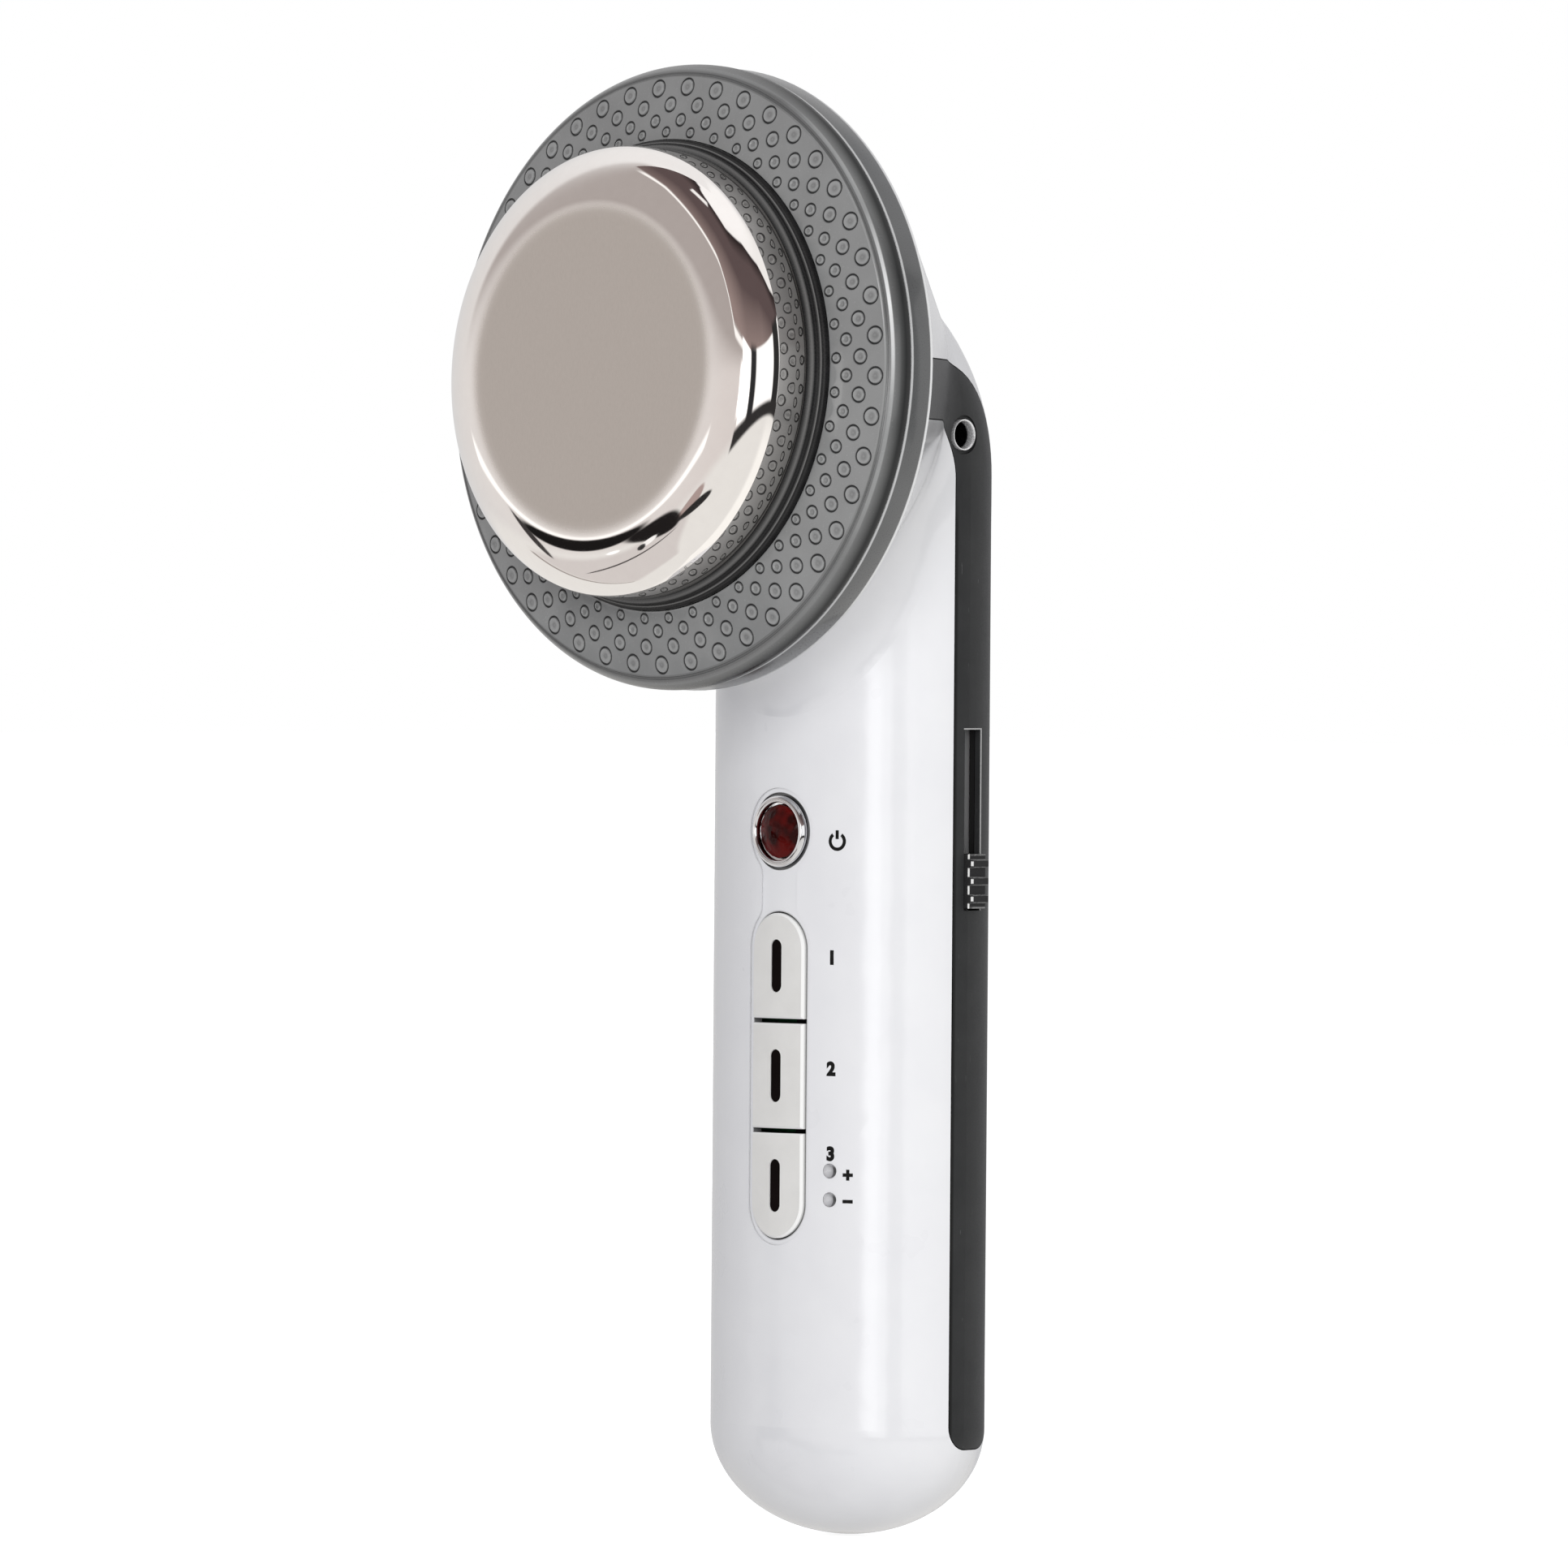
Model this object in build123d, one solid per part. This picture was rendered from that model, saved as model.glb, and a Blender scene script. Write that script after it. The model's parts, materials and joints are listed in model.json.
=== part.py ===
from build123d import *
from math import cos, radians, sin, sqrt, tan
import os

# A hand-held facial toning device. The handle stands along +Z, the round treatment
# head looks towards -Y, and the slider and the power socket are on the +X side.
# Every length is in millimetres. Until the last step the handle's axis is the Z axis.

# Overall sizes
OVERALL_HEIGHT = 200.0
HANDLE_WIDTH = 44.4
HANDLE_DEPTH = 28.4
FOOT_HEIGHT = 15.0
WALL = 2.0
FIT = 0.1  # clearance between pieces that are assembled
SEAM = 0.15  # visible parting gap
RUNNING_FIT = 0.08  # clearance round pieces that move

# Treatment head, in its own axis: radius, and distance forward of the bezel's back
HEAD_REACH = 28.3
HEAD_TILT = 3.0
LENS_RADIUS = 42.4
LENS_RIM = 1.7
LENS_WALL = 2.0
LENS_EDGE_FRONT = 7.7
LENS_INNER_FRONT = 9.4
LENS_RIM_START = 5.0
BEZEL_STEP = 0.2  # how much smaller than the lens the bezel is
BEZEL_DEPTH = 4.1
BEZEL_FLOOR = 1.6
BEZEL_LIP = 2.5
BEZEL_LIP_WALL = 1.4
BEZEL_LEDGE = 4.2  # the floor's width inside the cup's skirt
PARTING_GAP = 0.3
CUP_RADIUS = 30.5
CUP_FLAT_RADIUS = 22.0
CUP_FRONT = 22.7
CUP_SHOULDER = 17.4
CUP_BACK = 12.2
CUP_WALL = 1.2
CUP_STEP = 1.1  # how much smaller than the cup its skirt is
SEAL_WALL = 2.5
SEAL_LIP = 0.3  # how far the collar's lip reaches past the cup
SEAL_BACK_GAP = 1.0
SEAL_STEP = 0.4
SEAL_SHOULDER = 1.2
SEAL_SHOULDER_WIDTH = 0.5
SEAL_LIP_DEPTH = 0.6
TRANSDUCER_RADIUS = 18.0
TRANSDUCER_THICKNESS = 3.0
PAD_THICKNESS = 4.0
PAD_INSET = 1.0
PAD_SLOT_RADIUS = 1.4
CLAMP_WIDTH = 12.1
CLAMP_THICKNESS = 3.0
CLAMP_SCREW_ANGLES = (45, 135, 225, 315)
CLAMP_SCREW_SHIFT = 0.4
LED_COUNT = 16
LED_BOARD_THICKNESS = 1.2
LED_BOARD_GAP = 0.2
LED_BEAD_RADIUS = 1.5
LED_BEAD_HEIGHT = 2.2
LED_FLANGE_RADIUS = 1.9
LED_FLANGE_HEIGHT = 0.6

# Neck: a cone behind the bezel, closed at the back by a dome
NECK_STEP = 0.2  # how much smaller than the bezel the cone's rim is
NECK_ANGLE = 39.4
DOME_RADIUS = 28.5
BEND_RADIUS = 18.8
BEND_BELOW_HEAD = 12.7
NECK_BLEND = 8.0
STUB_SHORT = 3.0  # how far the bend's stub stops short of the bezel

# Side bands, seen from the side: Y runs backwards
BAND_FRONT = -2.5
BAND_REAR = 8.0
BAND_FOOT = 12.4
BAND_ARM_LOW = 7.5  # above the start of the bend
BAND_ARM_HIGH = 15.5
BAND_INNER_RADIUS = 8.0
BAND_OUTER_RADIUS = 16.0
BAND_TOE_RADIUS = 3.0
BAND_HEEL_RADIUS = 5.0
BAND_THICKNESS = 1.2

# Controls on the front, as distances below the start of the bend
LAMP_BELOW_BEND = 48.6
LAMP_HOLE_RADIUS = 5.3
LAMP_RING_RADIUS = 4.95
LAMP_LENS_RADIUS = 3.65
LAMP_LENS_PROUD = 0.9
LAMP_LENS_SHOULDER = 0.2
LAMP_LENS_FLANGE = 0.7
LAMP_LENS_FLANGE_THICKNESS = 0.8
LAMP_RING_PROUD = 0.45
LAMP_RING_CHAMFER = 0.5
LAMP_RING_STEP = 0.6
LAMP_SEAT_DEPTH = 0.5
LED_RADIUS = 2.5
LED_BASE = 0.9
LED_BASE_WIDTH = 0.4
LED_POCKET = 1.0
LED_TIP_GAP = 0.4
LED_LEG_RADIUS = 0.3
LED_LEG_LENGTH = 1.4
LED_LEG_X = 1.27
PILL_TOP_BELOW_BEND = 59.7
PILL_WIDTH = 9.6
BUTTON_LENGTH = 14.4
BUTTON_GAP = 0.55
BUTTON_PROUD = 0.3
BUTTON_TRAVEL = 0.6
BUTTON_SIDE_GAP = 0.2
BUTTON_CHAMFER = 0.3
BUTTON_FLANGE = 0.9
BUTTON_FLANGE_THICKNESS = 0.8
BUTTON_FLANGE_GAP = 0.25
PANEL_RECESS = 0.3
PANEL_MARGIN = 0.95
PANEL_LAMP_MARGIN = 0.65
PANEL_WAIST = 6.8
PANEL_NOTCH_RADIUS = 2.5
WINDOW_WIDTH = 2.0
WINDOW_LENGTH = 7.2
WINDOW_SUNK = 0.2
LEVEL_HOLE_RADIUS = 1.0
LEVEL_SUNK = 0.35
LEVEL_COLLAR = 0.6
LEVEL_COLLAR_THICKNESS = 0.8
LEVEL_X = 9.0
LEVEL_HIGH_BELOW_BEND = 94.6
LEVEL_SPACING = 3.9
SWITCH_SIZE = 6.0
SWITCH_HEIGHT = 3.5
SWITCH_OFFSET = 5.4
PLUNGER_RADIUS = 1.7
PLUNGER_PROUD = 1.0
PLUNGER_DEPTH = 1.6
PLUNGER_BOTTOM_GAP = 0.3
STEM_RADIUS = 1.4
INDICATOR_SIZE = 2.0
INDICATOR_LENGTH = 1.4
INDICATOR_HEIGHT = 0.9
INDICATOR_OFFSET = 1.4  # above the middle of the button

# Slider on the right side
SLOT_Y = 1.0
SLOT_WIDTH = 3.6
SLOT_LOW_BELOW_BEND = 59.1
SLIDER_TRAVEL = 16.6
KNOB_LENGTH = 7.4
KNOB_END_GAP = 0.3
KNOB_SIDE_GAP = 0.13
KNOB_PROUD = 0.8
KNOB_RIB = 0.6
KNOB_RIB_WIDTH = 1.0
KNOB_RIB_PITCH = 2.4
LEVER_THICKNESS = 1.2
LEVER_LENGTH = 3.2
LEVER_SUNK = 0.6  # below the skin
LEVER_REACH = 4.0  # into the fader
SHIELD_THICKNESS = 0.5
SHIELD_OVERLAP = 0.3
SHIELD_GAP = 0.25
FADER_DEPTH = 6.4
FADER_HEIGHT = 7.0
FADER_GAP = 0.3
FADER_END = 5.0
FADER_CHANNEL_GAP = 0.15
FADER_CHANNEL_DEPTH = 4.4

# Power socket on the right side
SOCKET_ABOVE_BEND = 5.5
SOCKET_Y = -1.4
SOCKET_RADIUS = 1.8
SOCKET_SLEEVE_WALL = 0.35
SOCKET_PROUD = 0.1
SOCKET_DEPTH = 14.0
SOCKET_BLOCK = 7.6
SOCKET_BACK_WALL = 1.5
SOCKET_DIMPLE_RADIUS = 2.65
SOCKET_DIMPLE_DEPTH = 0.4
SOCKET_NOTCH = 5.0  # square opening in the casings, hidden by the band
SOCKET_NOTCH_ANGLE = 33.4  # turned so that the band covers its corners
TAB_LENGTH = 2.5
TAB_WIDTH = 1.6
TAB_THICKNESS = 0.6
TAB_SPACING = 4.0

# Circuit board and screws
BOARD_Y = -3.8  # front face of the board
BOARD_THICKNESS = 1.6
BOARD_MARGIN = 2.2
BOARD_CORNER = 3.0
BOARD_FOOT = 30.0
BOARD_BELOW_BEND = 27.5
BOARD_SCREW_X = 13.0
BOARD_SCREW_LENGTH = 5.5
SCREW_RADIUS = 1.2
SCREW_HEAD_RADIUS = 2.4
SCREW_HEAD_HEIGHT = 1.6
SCREW_HEAD_GAP = 0.3
CROSS_LENGTH = 2.8
CROSS_WIDTH = 0.7
CROSS_DEPTH = 0.8
BOSS_RADIUS = 3.2
BOSS_PILOT = 9.0
BOARD_BOSS_RADIUS = 2.6
BOARD_BOSS_PILOT = 4.5
POST_RADIUS = 4.2
CASE_SCREW_FOOT = 21.0
CASE_SCREW_BELOW_BEND = 21.5
CASE_SCREW_SEAT = 3.0  # from the rear wall's inside to the screw's shoulder
CASE_SCREW_GRIP = 7.0

# Components on the back of the board
TRANSFORMER_X = -5.0
TRANSFORMER_ABOVE_FOOT = 35.0
CORE_WIDTH = 15.0
CORE_LENGTH = 17.0
CORE_DEPTH = 9.0
COIL_WIDTH = 9.0
COIL_LENGTH = 10.8
COIL_DEPTH = 9.6
COIL_CORNER = 1.5
CAPACITOR_X = 8.5
CAPACITOR_ABOVE_FOOT = 15.0
CAPACITOR_PITCH = 9.5
CAPACITOR_RADIUS = 4.0
CAPACITOR_DEPTH = 8.5
CAPACITOR_EDGE = 0.5
INDUCTOR_X = -11.0
INDUCTOR_ABOVE_FOOT = 17.0
INDUCTOR_RADIUS = 4.5
INDUCTOR_DRUM_RADIUS = 3.8
INDUCTOR_DEPTH = 5.0
INDUCTOR_FLANGE = 1.0
SINK_X = -1.5
SINK_WIDTH = 7.0
SINK_LENGTH = 12.0
SINK_DEPTH = 7.0
SINK_BASE = 2.0
FIN_COUNT = 4
FIN_THICKNESS = 1.0
FIN_PITCH = 2.0
CHIP_DEPTH = 1.5
CONTROLLER_SIZE = 9.0
CONTROLLER_X = -6.0
CONTROLLER_BELOW_TOP = 28.0
DRIVER_WIDTH = 5.0
DRIVER_LENGTH = 6.0
DRIVER_XS = (-11.0, 1.0)
DRIVER_BELOW_TOP = 39.0
CRYSTAL_X = 5.0
CRYSTAL_BELOW_TOP = 27.0
CRYSTAL_WIDTH = 4.0
CRYSTAL_LENGTH = 10.0
CRYSTAL_DEPTH = 3.4
CONNECTOR_X = 8.0
CONNECTOR_BELOW_TOP = 4.5
CONNECTOR_WIDTH = 5.5
CONNECTOR_LENGTH = 7.0

# Insulated leads
LEAD_RADIUS = 0.6
LEAD_SPACING = 2.2
LEAD_HOLE_RADIUS = 1.6
LEAD_HOLE_INSET = 2.4  # inside the ring of lamps
TRANSDUCER_LEAD_XS = (-7.0, 7.0)
ELECTRODE_LEAD_X = -20.0

# Places that follow from the sizes above
TILT = radians(HEAD_TILT)
SLOPE = radians(NECK_ANGLE)
LENS_BACK = BEZEL_DEPTH + PARTING_GAP
LENS_FLAT_RADIUS = LENS_RADIUS - LENS_RIM
BEZEL_RADIUS = LENS_RADIUS - BEZEL_STEP
NECK_RADIUS = BEZEL_RADIUS - NECK_STEP
CUP_SKIRT_RADIUS = CUP_RADIUS - CUP_STEP
SKIRT_BORE = CUP_SKIRT_RADIUS - CUP_WALL
SEAL_RADIUS = CUP_SKIRT_RADIUS + SEAL_WALL
SEAL_LIP_RADIUS = CUP_RADIUS + SEAL_LIP
BEZEL_BORE = SKIRT_BORE - BEZEL_LEDGE
LENS_SKIRT_RADIUS = SEAL_RADIUS + LENS_WALL / 2
LENS_BORE = LENS_RADIUS - LENS_WALL
LED_RING_RADIUS = (LENS_SKIRT_RADIUS + LENS_BORE) / 2 - 0.35
LED_BOARD_FRONT = BEZEL_FLOOR + LED_BOARD_THICKNESS
LEAD_HOLE_RING = LED_RING_RADIUS - LEAD_HOLE_INSET
HEAD_HEIGHT = OVERALL_HEIGHT - LENS_RADIUS * cos(TILT) - LENS_RIM_START * sin(TILT)
BEND_HEIGHT = HEAD_HEIGHT - BEND_BELOW_HEAD
HEAD = Plane(
    origin=(0, -HEAD_REACH, HEAD_HEIGHT), x_dir=(1, 0, 0), z_dir=(0, -cos(TILT), sin(TILT))
)
HALF_WIDTH = HANDLE_WIDTH / 2
HALF_DEPTH = HANDLE_DEPTH / 2
SPLIT_Y = (BAND_FRONT + BAND_REAR) / 2
SPLIT_HEIGHT = BEND_HEIGHT + (BAND_ARM_LOW + BAND_ARM_HIGH) / 2
SPLIT_RADIUS = (BAND_INNER_RADIUS + BAND_OUTER_RADIUS) / 2
LAMP_HEIGHT = BEND_HEIGHT - LAMP_BELOW_BEND
PILL_TOP = BEND_HEIGHT - PILL_TOP_BELOW_BEND
PILL_LENGTH = 3 * BUTTON_LENGTH + 2 * BUTTON_GAP
PILL_CENTRE = PILL_TOP - PILL_LENGTH / 2
BUTTON_HEIGHTS = [PILL_CENTRE + step * (BUTTON_LENGTH + BUTTON_GAP) for step in (1, 0, -1)]
BUTTON_NAMES = ["upper", "middle", "lower"]
SLOT_LENGTH = KNOB_LENGTH + SLIDER_TRAVEL + 2 * KNOB_END_GAP
SLOT_LOW = BEND_HEIGHT - SLOT_LOW_BELOW_BEND
SLOT_CENTRE = SLOT_LOW + SLOT_LENGTH / 2
KNOB_HEIGHT = SLOT_LOW + KNOB_END_GAP + KNOB_LENGTH / 2
SOCKET_HEIGHT = BEND_HEIGHT + SOCKET_ABOVE_BEND
SOCKET_FRONT = HALF_WIDTH + SOCKET_PROUD
SOCKET_BOTTOM = SOCKET_FRONT - SOCKET_DEPTH
SOCKET_BACK = SOCKET_BOTTOM - SOCKET_BACK_WALL
SLEEVE_RADIUS = SOCKET_RADIUS + SOCKET_SLEEVE_WALL
TAB_HEIGHTS = [SOCKET_HEIGHT - TAB_SPACING / 2, SOCKET_HEIGHT + TAB_SPACING / 2]
BOARD_TOP = BEND_HEIGHT - BOARD_BELOW_BEND
BOARD_BACK = BOARD_Y + BOARD_THICKNESS
LEVEL_HEIGHTS = [BEND_HEIGHT - LEVEL_HIGH_BELOW_BEND - step * LEVEL_SPACING for step in (0, 1)]
CASE_SCREW_HEIGHTS = [CASE_SCREW_FOOT, BEND_HEIGHT - CASE_SCREW_BELOW_BEND]
BOARD_SCREWS = [
    (-BOARD_SCREW_X, BOARD_FOOT + 5),
    (BOARD_SCREW_X, BOARD_FOOT + 5),
    (-BOARD_SCREW_X, BOARD_TOP - 16),
    (BOARD_SCREW_X, SLOT_LOW - 9),  # clear of the slide control
]
CAN_HEIGHTS = [BOARD_FOOT + CAPACITOR_ABOVE_FOOT + step * CAPACITOR_PITCH for step in (0, 1, 2)]
INDUCTOR_HEIGHT = BOARD_FOOT + INDUCTOR_ABOVE_FOOT
TRANSFORMER_HEIGHT = BOARD_FOOT + TRANSFORMER_ABOVE_FOOT


# ---------------------------------------------------------------- shape helpers


def skin_y(x, inset=0.0):
    """Y of the handle's front skin at X, or of a layer inset below the skin."""
    return -(HALF_DEPTH - inset) * sqrt(1 - (x / (HALF_WIDTH - inset)) ** 2)


def skin_x(y, inset=0.0):
    """X of the handle's right skin at Y, or of a layer inset below the skin."""
    return (HALF_WIDTH - inset) * sqrt(1 - (y / (HALF_DEPTH - inset)) ** 2)


def block(x, y, z):
    """A box between two corners, given as spans along X, Y and Z."""
    spans = [sorted(span) for span in (x, y, z)]
    centre = [(low + high) / 2 for low, high in spans]
    return Pos(*centre) * Box(*[high - low for low, high in spans])


def rod(start, direction, radius, length):
    """A round rod from a point, along a direction."""
    plane = Plane(origin=start, z_dir=direction)
    return plane * Cylinder(radius, length, align=(Align.CENTER, Align.CENTER, Align.MIN))


def front_slab(sketch, back, front):
    """A sketch in X and Z, drawn at y=back and thickened forwards to y=front."""
    plane = Plane(origin=(0, back, 0), x_dir=(1, 0, 0), z_dir=(0, -1, 0))
    return extrude(plane * sketch, back - front)


def side_slab(sketch, inner, outer):
    """A sketch in Y and Z, drawn at x=inner and thickened to x=outer."""
    plane = Plane(origin=(inner, 0, 0), x_dir=(0, 1, 0), z_dir=(1, 0, 0))
    return extrude(plane * sketch, outer - inner)


def upright_slot(x, z, width, length):
    """A round-ended slot sketch, standing up, centred at (x, z)."""
    return Pos(x, z) * Rot(0, 0, 90) * SlotOverall(length, width)


def turned(edges):
    """A profile in radius and forward distance, turned about the head's axis."""
    return HEAD.location * revolve(Plane.XZ * make_face(edges), Axis.Z)


def turned_ring(*points):
    """A piece turned about the head's axis from a straight-sided profile."""
    return turned(Polyline(*points, close=True))


def head_point(x, up, forward):
    """A point given in the head's axes: right, up and forward of the bezel's back."""
    return HEAD.from_local_coords((x, up, forward))


def joined(*pieces):
    """One part from several overlapping solids."""
    return Part() + [solid for piece in pieces for solid in piece.solids()]


def screw(point, direction, length):
    """A cross-head screw whose head's underside is at the point, driven along direction."""
    back = [-part for part in direction]
    head = rod(point, back, SCREW_HEAD_RADIUS, SCREW_HEAD_HEIGHT)
    shank = rod(point, direction, SCREW_RADIUS, length)
    top = Plane(origin=point, z_dir=back).offset(SCREW_HEAD_HEIGHT)
    bar = Box(CROSS_LENGTH, CROSS_WIDTH, 2 * CROSS_DEPTH)
    cross = bar + Rot(0, 0, 90) * bar
    return joined(head, shank) - top * cross


# ---------------------------------------------------------------- handle body


def foot(inset):
    """The rounded lower end of the handle."""
    half_width = HALF_WIDTH - inset
    arc = EllipticalCenterArc(
        (0, FOOT_HEIGHT), half_width, FOOT_HEIGHT - inset, start_angle=270, arc_size=90
    )
    top = Line((half_width, FOOT_HEIGHT), (0, FOOT_HEIGHT))
    axis = Line((0, FOOT_HEIGHT), (0, inset))
    dome = revolve(Plane.XZ * make_face([arc, top, axis]), Axis.Z)
    return scale(dome.solid(), by=(1, (HALF_DEPTH - inset) / half_width, 1))


def stem(inset):
    """The straight handle, its bend towards the head, and a stub into the neck."""
    section = Ellipse(HALF_WIDTH - inset, HALF_DEPTH - inset)
    column = extrude(Pos(0, 0, FOOT_HEIGHT) * section, BEND_HEIGHT - FOOT_HEIGHT)
    bend_axis = Axis((0, -BEND_RADIUS, BEND_HEIGHT), (1, 0, 0))
    bend = revolve(Pos(0, 0, BEND_HEIGHT) * section, bend_axis, 90)
    forward = Plane(
        origin=(0, -BEND_RADIUS, BEND_HEIGHT + BEND_RADIUS), x_dir=(1, 0, 0), z_dir=(0, -1, 0)
    )
    stub = extrude(forward * section, HEAD_REACH - BEND_RADIUS - STUB_SHORT)
    return [column, bend, stub]


def neck_radius(forward, inset=0.0):
    """Radius of the neck's cone at a distance forward of the bezel's back."""
    return NECK_RADIUS - inset / cos(SLOPE) + forward * tan(SLOPE)


def neck(inset):
    """The cone behind the bezel with its domed back, in one turned piece."""
    centre = (DOME_RADIUS * cos(SLOPE) - NECK_RADIUS) / tan(SLOPE) + DOME_RADIUS * sin(SLOPE)
    radius = DOME_RADIUS - inset

    def on_dome(angle):
        return radius * cos(angle), centre - radius * sin(angle)

    edges = [
        ThreePointArc(on_dome(radians(90)), on_dome((SLOPE + radians(90)) / 2), on_dome(SLOPE)),
        Line(on_dome(SLOPE), (neck_radius(0, inset), 0)),
        Line((neck_radius(0, inset), 0), (0, 0)),
        Line((0, 0), on_dome(radians(90))),
    ]
    return turned(edges)


def body(inset, blend=0.0):
    """The outside of the casing, or a layer inset below it; blend rounds the neck's creases."""
    upper = joined(*stem(inset), neck(inset))
    if blend > 0:
        creases = [edge for edge in upper.edges() if edge.geom_type == GeomType.BSPLINE]
        upper = fillet(creases, blend)
    return joined(upper, foot(inset))


# ---------------------------------------------------------------- casing


def band_outline(gap=0.0):
    """The side band's outline in Y and Z, widened by a gap."""
    low = BEND_HEIGHT + BAND_ARM_LOW - gap
    high = BEND_HEIGHT + BAND_ARM_HIGH + gap
    front = BAND_FRONT - gap
    rear = BAND_REAR + gap
    nose = -HEAD_REACH - BEZEL_DEPTH
    corners = [
        (front, BAND_FOOT - gap),
        (rear, BAND_FOOT - gap),
        (rear, high),
        (nose, high),
        (nose, low),
        (front, low),
    ]
    radii = [
        BAND_TOE_RADIUS + gap,
        BAND_HEEL_RADIUS + gap,
        BAND_OUTER_RADIUS + gap,
        0,
        0,
        BAND_INNER_RADIUS - gap,
    ]
    return make_face(FilletPolyline(*corners, radius=radii, close=True))


def rear_region():
    """Everything behind and above the casing's parting line."""
    reach = OVERALL_HEIGHT
    corners = [
        (SPLIT_Y, -reach),
        (reach, -reach),
        (reach, 2 * reach),
        (-reach, 2 * reach),
        (-reach, SPLIT_HEIGHT),
        (SPLIT_Y, SPLIT_HEIGHT),
    ]
    face = make_face(FilletPolyline(*corners, radius=[0, 0, 0, 0, 0, SPLIT_RADIUS], close=True))
    return side_slab(face, -reach, reach)


def band_recess():
    """The shallow seats of both side bands."""
    seat = band_outline(SEAM)
    return side_slab(seat, 0, HANDLE_WIDTH) + side_slab(seat, -HANDLE_WIDTH, 0)


def pill(margin=0.0):
    """Outline of the button group on the front."""
    return upright_slot(0, PILL_CENTRE, PILL_WIDTH + 2 * margin, PILL_LENGTH + 2 * margin)


def panel_outline():
    """The waisted outline that joins the lamp and the buttons."""
    lamp = Pos(0, LAMP_HEIGHT) * Circle(LAMP_HOLE_RADIUS + PANEL_LAMP_MARGIN)
    waist_foot = PILL_TOP - PILL_WIDTH / 2
    waist_length = LAMP_HEIGHT - waist_foot
    waist = Pos(0, waist_foot + waist_length / 2) * Rectangle(PANEL_WAIST, waist_length)
    outline = lamp + waist + pill(PANEL_MARGIN)
    notches = [
        corner
        for corner in outline.vertices()
        if abs(abs(corner.X) - PANEL_WAIST / 2) < 0.01
    ]
    return fillet(notches, PANEL_NOTCH_RADIUS)


def front_openings(skin):
    """What is cut from the front of the casing, given the solid of its outside."""
    recess = front_slab(panel_outline(), 0, -HANDLE_DEPTH) & (skin - body(PANEL_RECESS))
    buttons = front_slab(pill(BUTTON_SIDE_GAP), 0, -HANDLE_DEPTH)
    seat_half = PILL_WIDTH / 2 + BUTTON_FLANGE + FIT
    seat_low = PILL_TOP - PILL_LENGTH - BUTTON_FLANGE - FIT
    seat_high = PILL_TOP + BUTTON_FLANGE + FIT
    flange_seat = block((-seat_half, seat_half), (flange_front() - FIT, 0), (seat_low, seat_high))
    lamp_seat = rod((0, lamp_seat_y(), LAMP_HEIGHT), (0, -1, 0), LAMP_HOLE_RADIUS, HALF_DEPTH)
    lamp_hole = rod((0, 0, LAMP_HEIGHT), (0, -1, 0), lamp_barrel_radius() + FIT, HALF_DEPTH)
    guides = [
        rod((LEVEL_X, 0, height), (0, -1, 0), LEVEL_HOLE_RADIUS, HALF_DEPTH)
        for height in LEVEL_HEIGHTS
    ]
    return [recess, buttons, flange_seat, lamp_seat, lamp_hole] + guides


def slot_sketch(margin=0.0):
    """Outline of the slider's slot."""
    return Pos(SLOT_Y, SLOT_CENTRE) * Rectangle(SLOT_WIDTH + 2 * margin, SLOT_LENGTH + 2 * margin)


def side_slot():
    """The slider's slot, through the band and the casing's right wall."""
    return side_slab(slot_sketch(), HALF_WIDTH - 2 * WALL, HANDLE_WIDTH)


def socket_notch():
    """The square opening for the socket, across the parting line of the casings."""
    place = Pos(HALF_WIDTH, SOCKET_Y, SOCKET_HEIGHT) * Rot(SOCKET_NOTCH_ANGLE, 0, 0)
    return place * Box(4 * WALL, SOCKET_NOTCH, SOCKET_NOTCH)


def case_bosses(skin):
    """Bosses inside the front casing, for the case screws and the board screws."""
    bosses = []
    for height in CASE_SCREW_HEIGHTS:
        foot = (0, SPLIT_Y, height)
        boss = rod(foot, (0, -1, 0), BOSS_RADIUS, SPLIT_Y + HALF_DEPTH)
        bosses.append(boss - rod(foot, (0, -1, 0), SCREW_RADIUS, BOSS_PILOT))
    for x, height in BOARD_SCREWS:
        foot = (x, BOARD_Y, height)
        boss = rod(foot, (0, -1, 0), BOARD_BOSS_RADIUS, BOARD_Y + HALF_DEPTH)
        bosses.append(boss - rod(foot, (0, -1, 0), SCREW_RADIUS, BOARD_BOSS_PILOT))
    return [boss & body(WALL / 2) for boss in bosses]


def case_posts():
    """Hollow posts inside the rear casing that take the case screws."""
    posts = [
        rod((0, SPLIT_Y, height), (0, 1, 0), POST_RADIUS, HANDLE_DEPTH)
        for height in CASE_SCREW_HEIGHTS
    ]
    return [post & body(WALL / 2) for post in posts]


def case_screw_seat_y():
    """Y of the shoulder that a case screw's head bears on."""
    return HALF_DEPTH - WALL - CASE_SCREW_SEAT


def case_screw_holes():
    """Stepped holes for the case screws, from the back."""
    holes = []
    for height in CASE_SCREW_HEIGHTS:
        holes.append(rod((0, SPLIT_Y, height), (0, 1, 0), SCREW_RADIUS + FIT, HANDLE_DEPTH))
        start = (0, case_screw_seat_y(), height)
        holes.append(rod(start, (0, 1, 0), SCREW_HEAD_RADIUS + SCREW_HEAD_GAP, HANDLE_DEPTH))
    return holes


def casing():
    """The front and rear shells."""
    skin = body(0, NECK_BLEND)
    wall = skin - body(WALL)
    band_layer = band_recess() & (skin - body(BAND_THICKNESS))
    wall = wall - band_layer
    rear = rear_region()
    side_openings = [side_slot(), socket_notch()]
    front_shell = joined(wall - rear, *case_bosses(skin)) - front_openings(skin) - side_openings
    rear_shell = joined(wall & rear, *case_posts()) - side_openings - case_screw_holes()
    return front_shell, rear_shell


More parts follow.
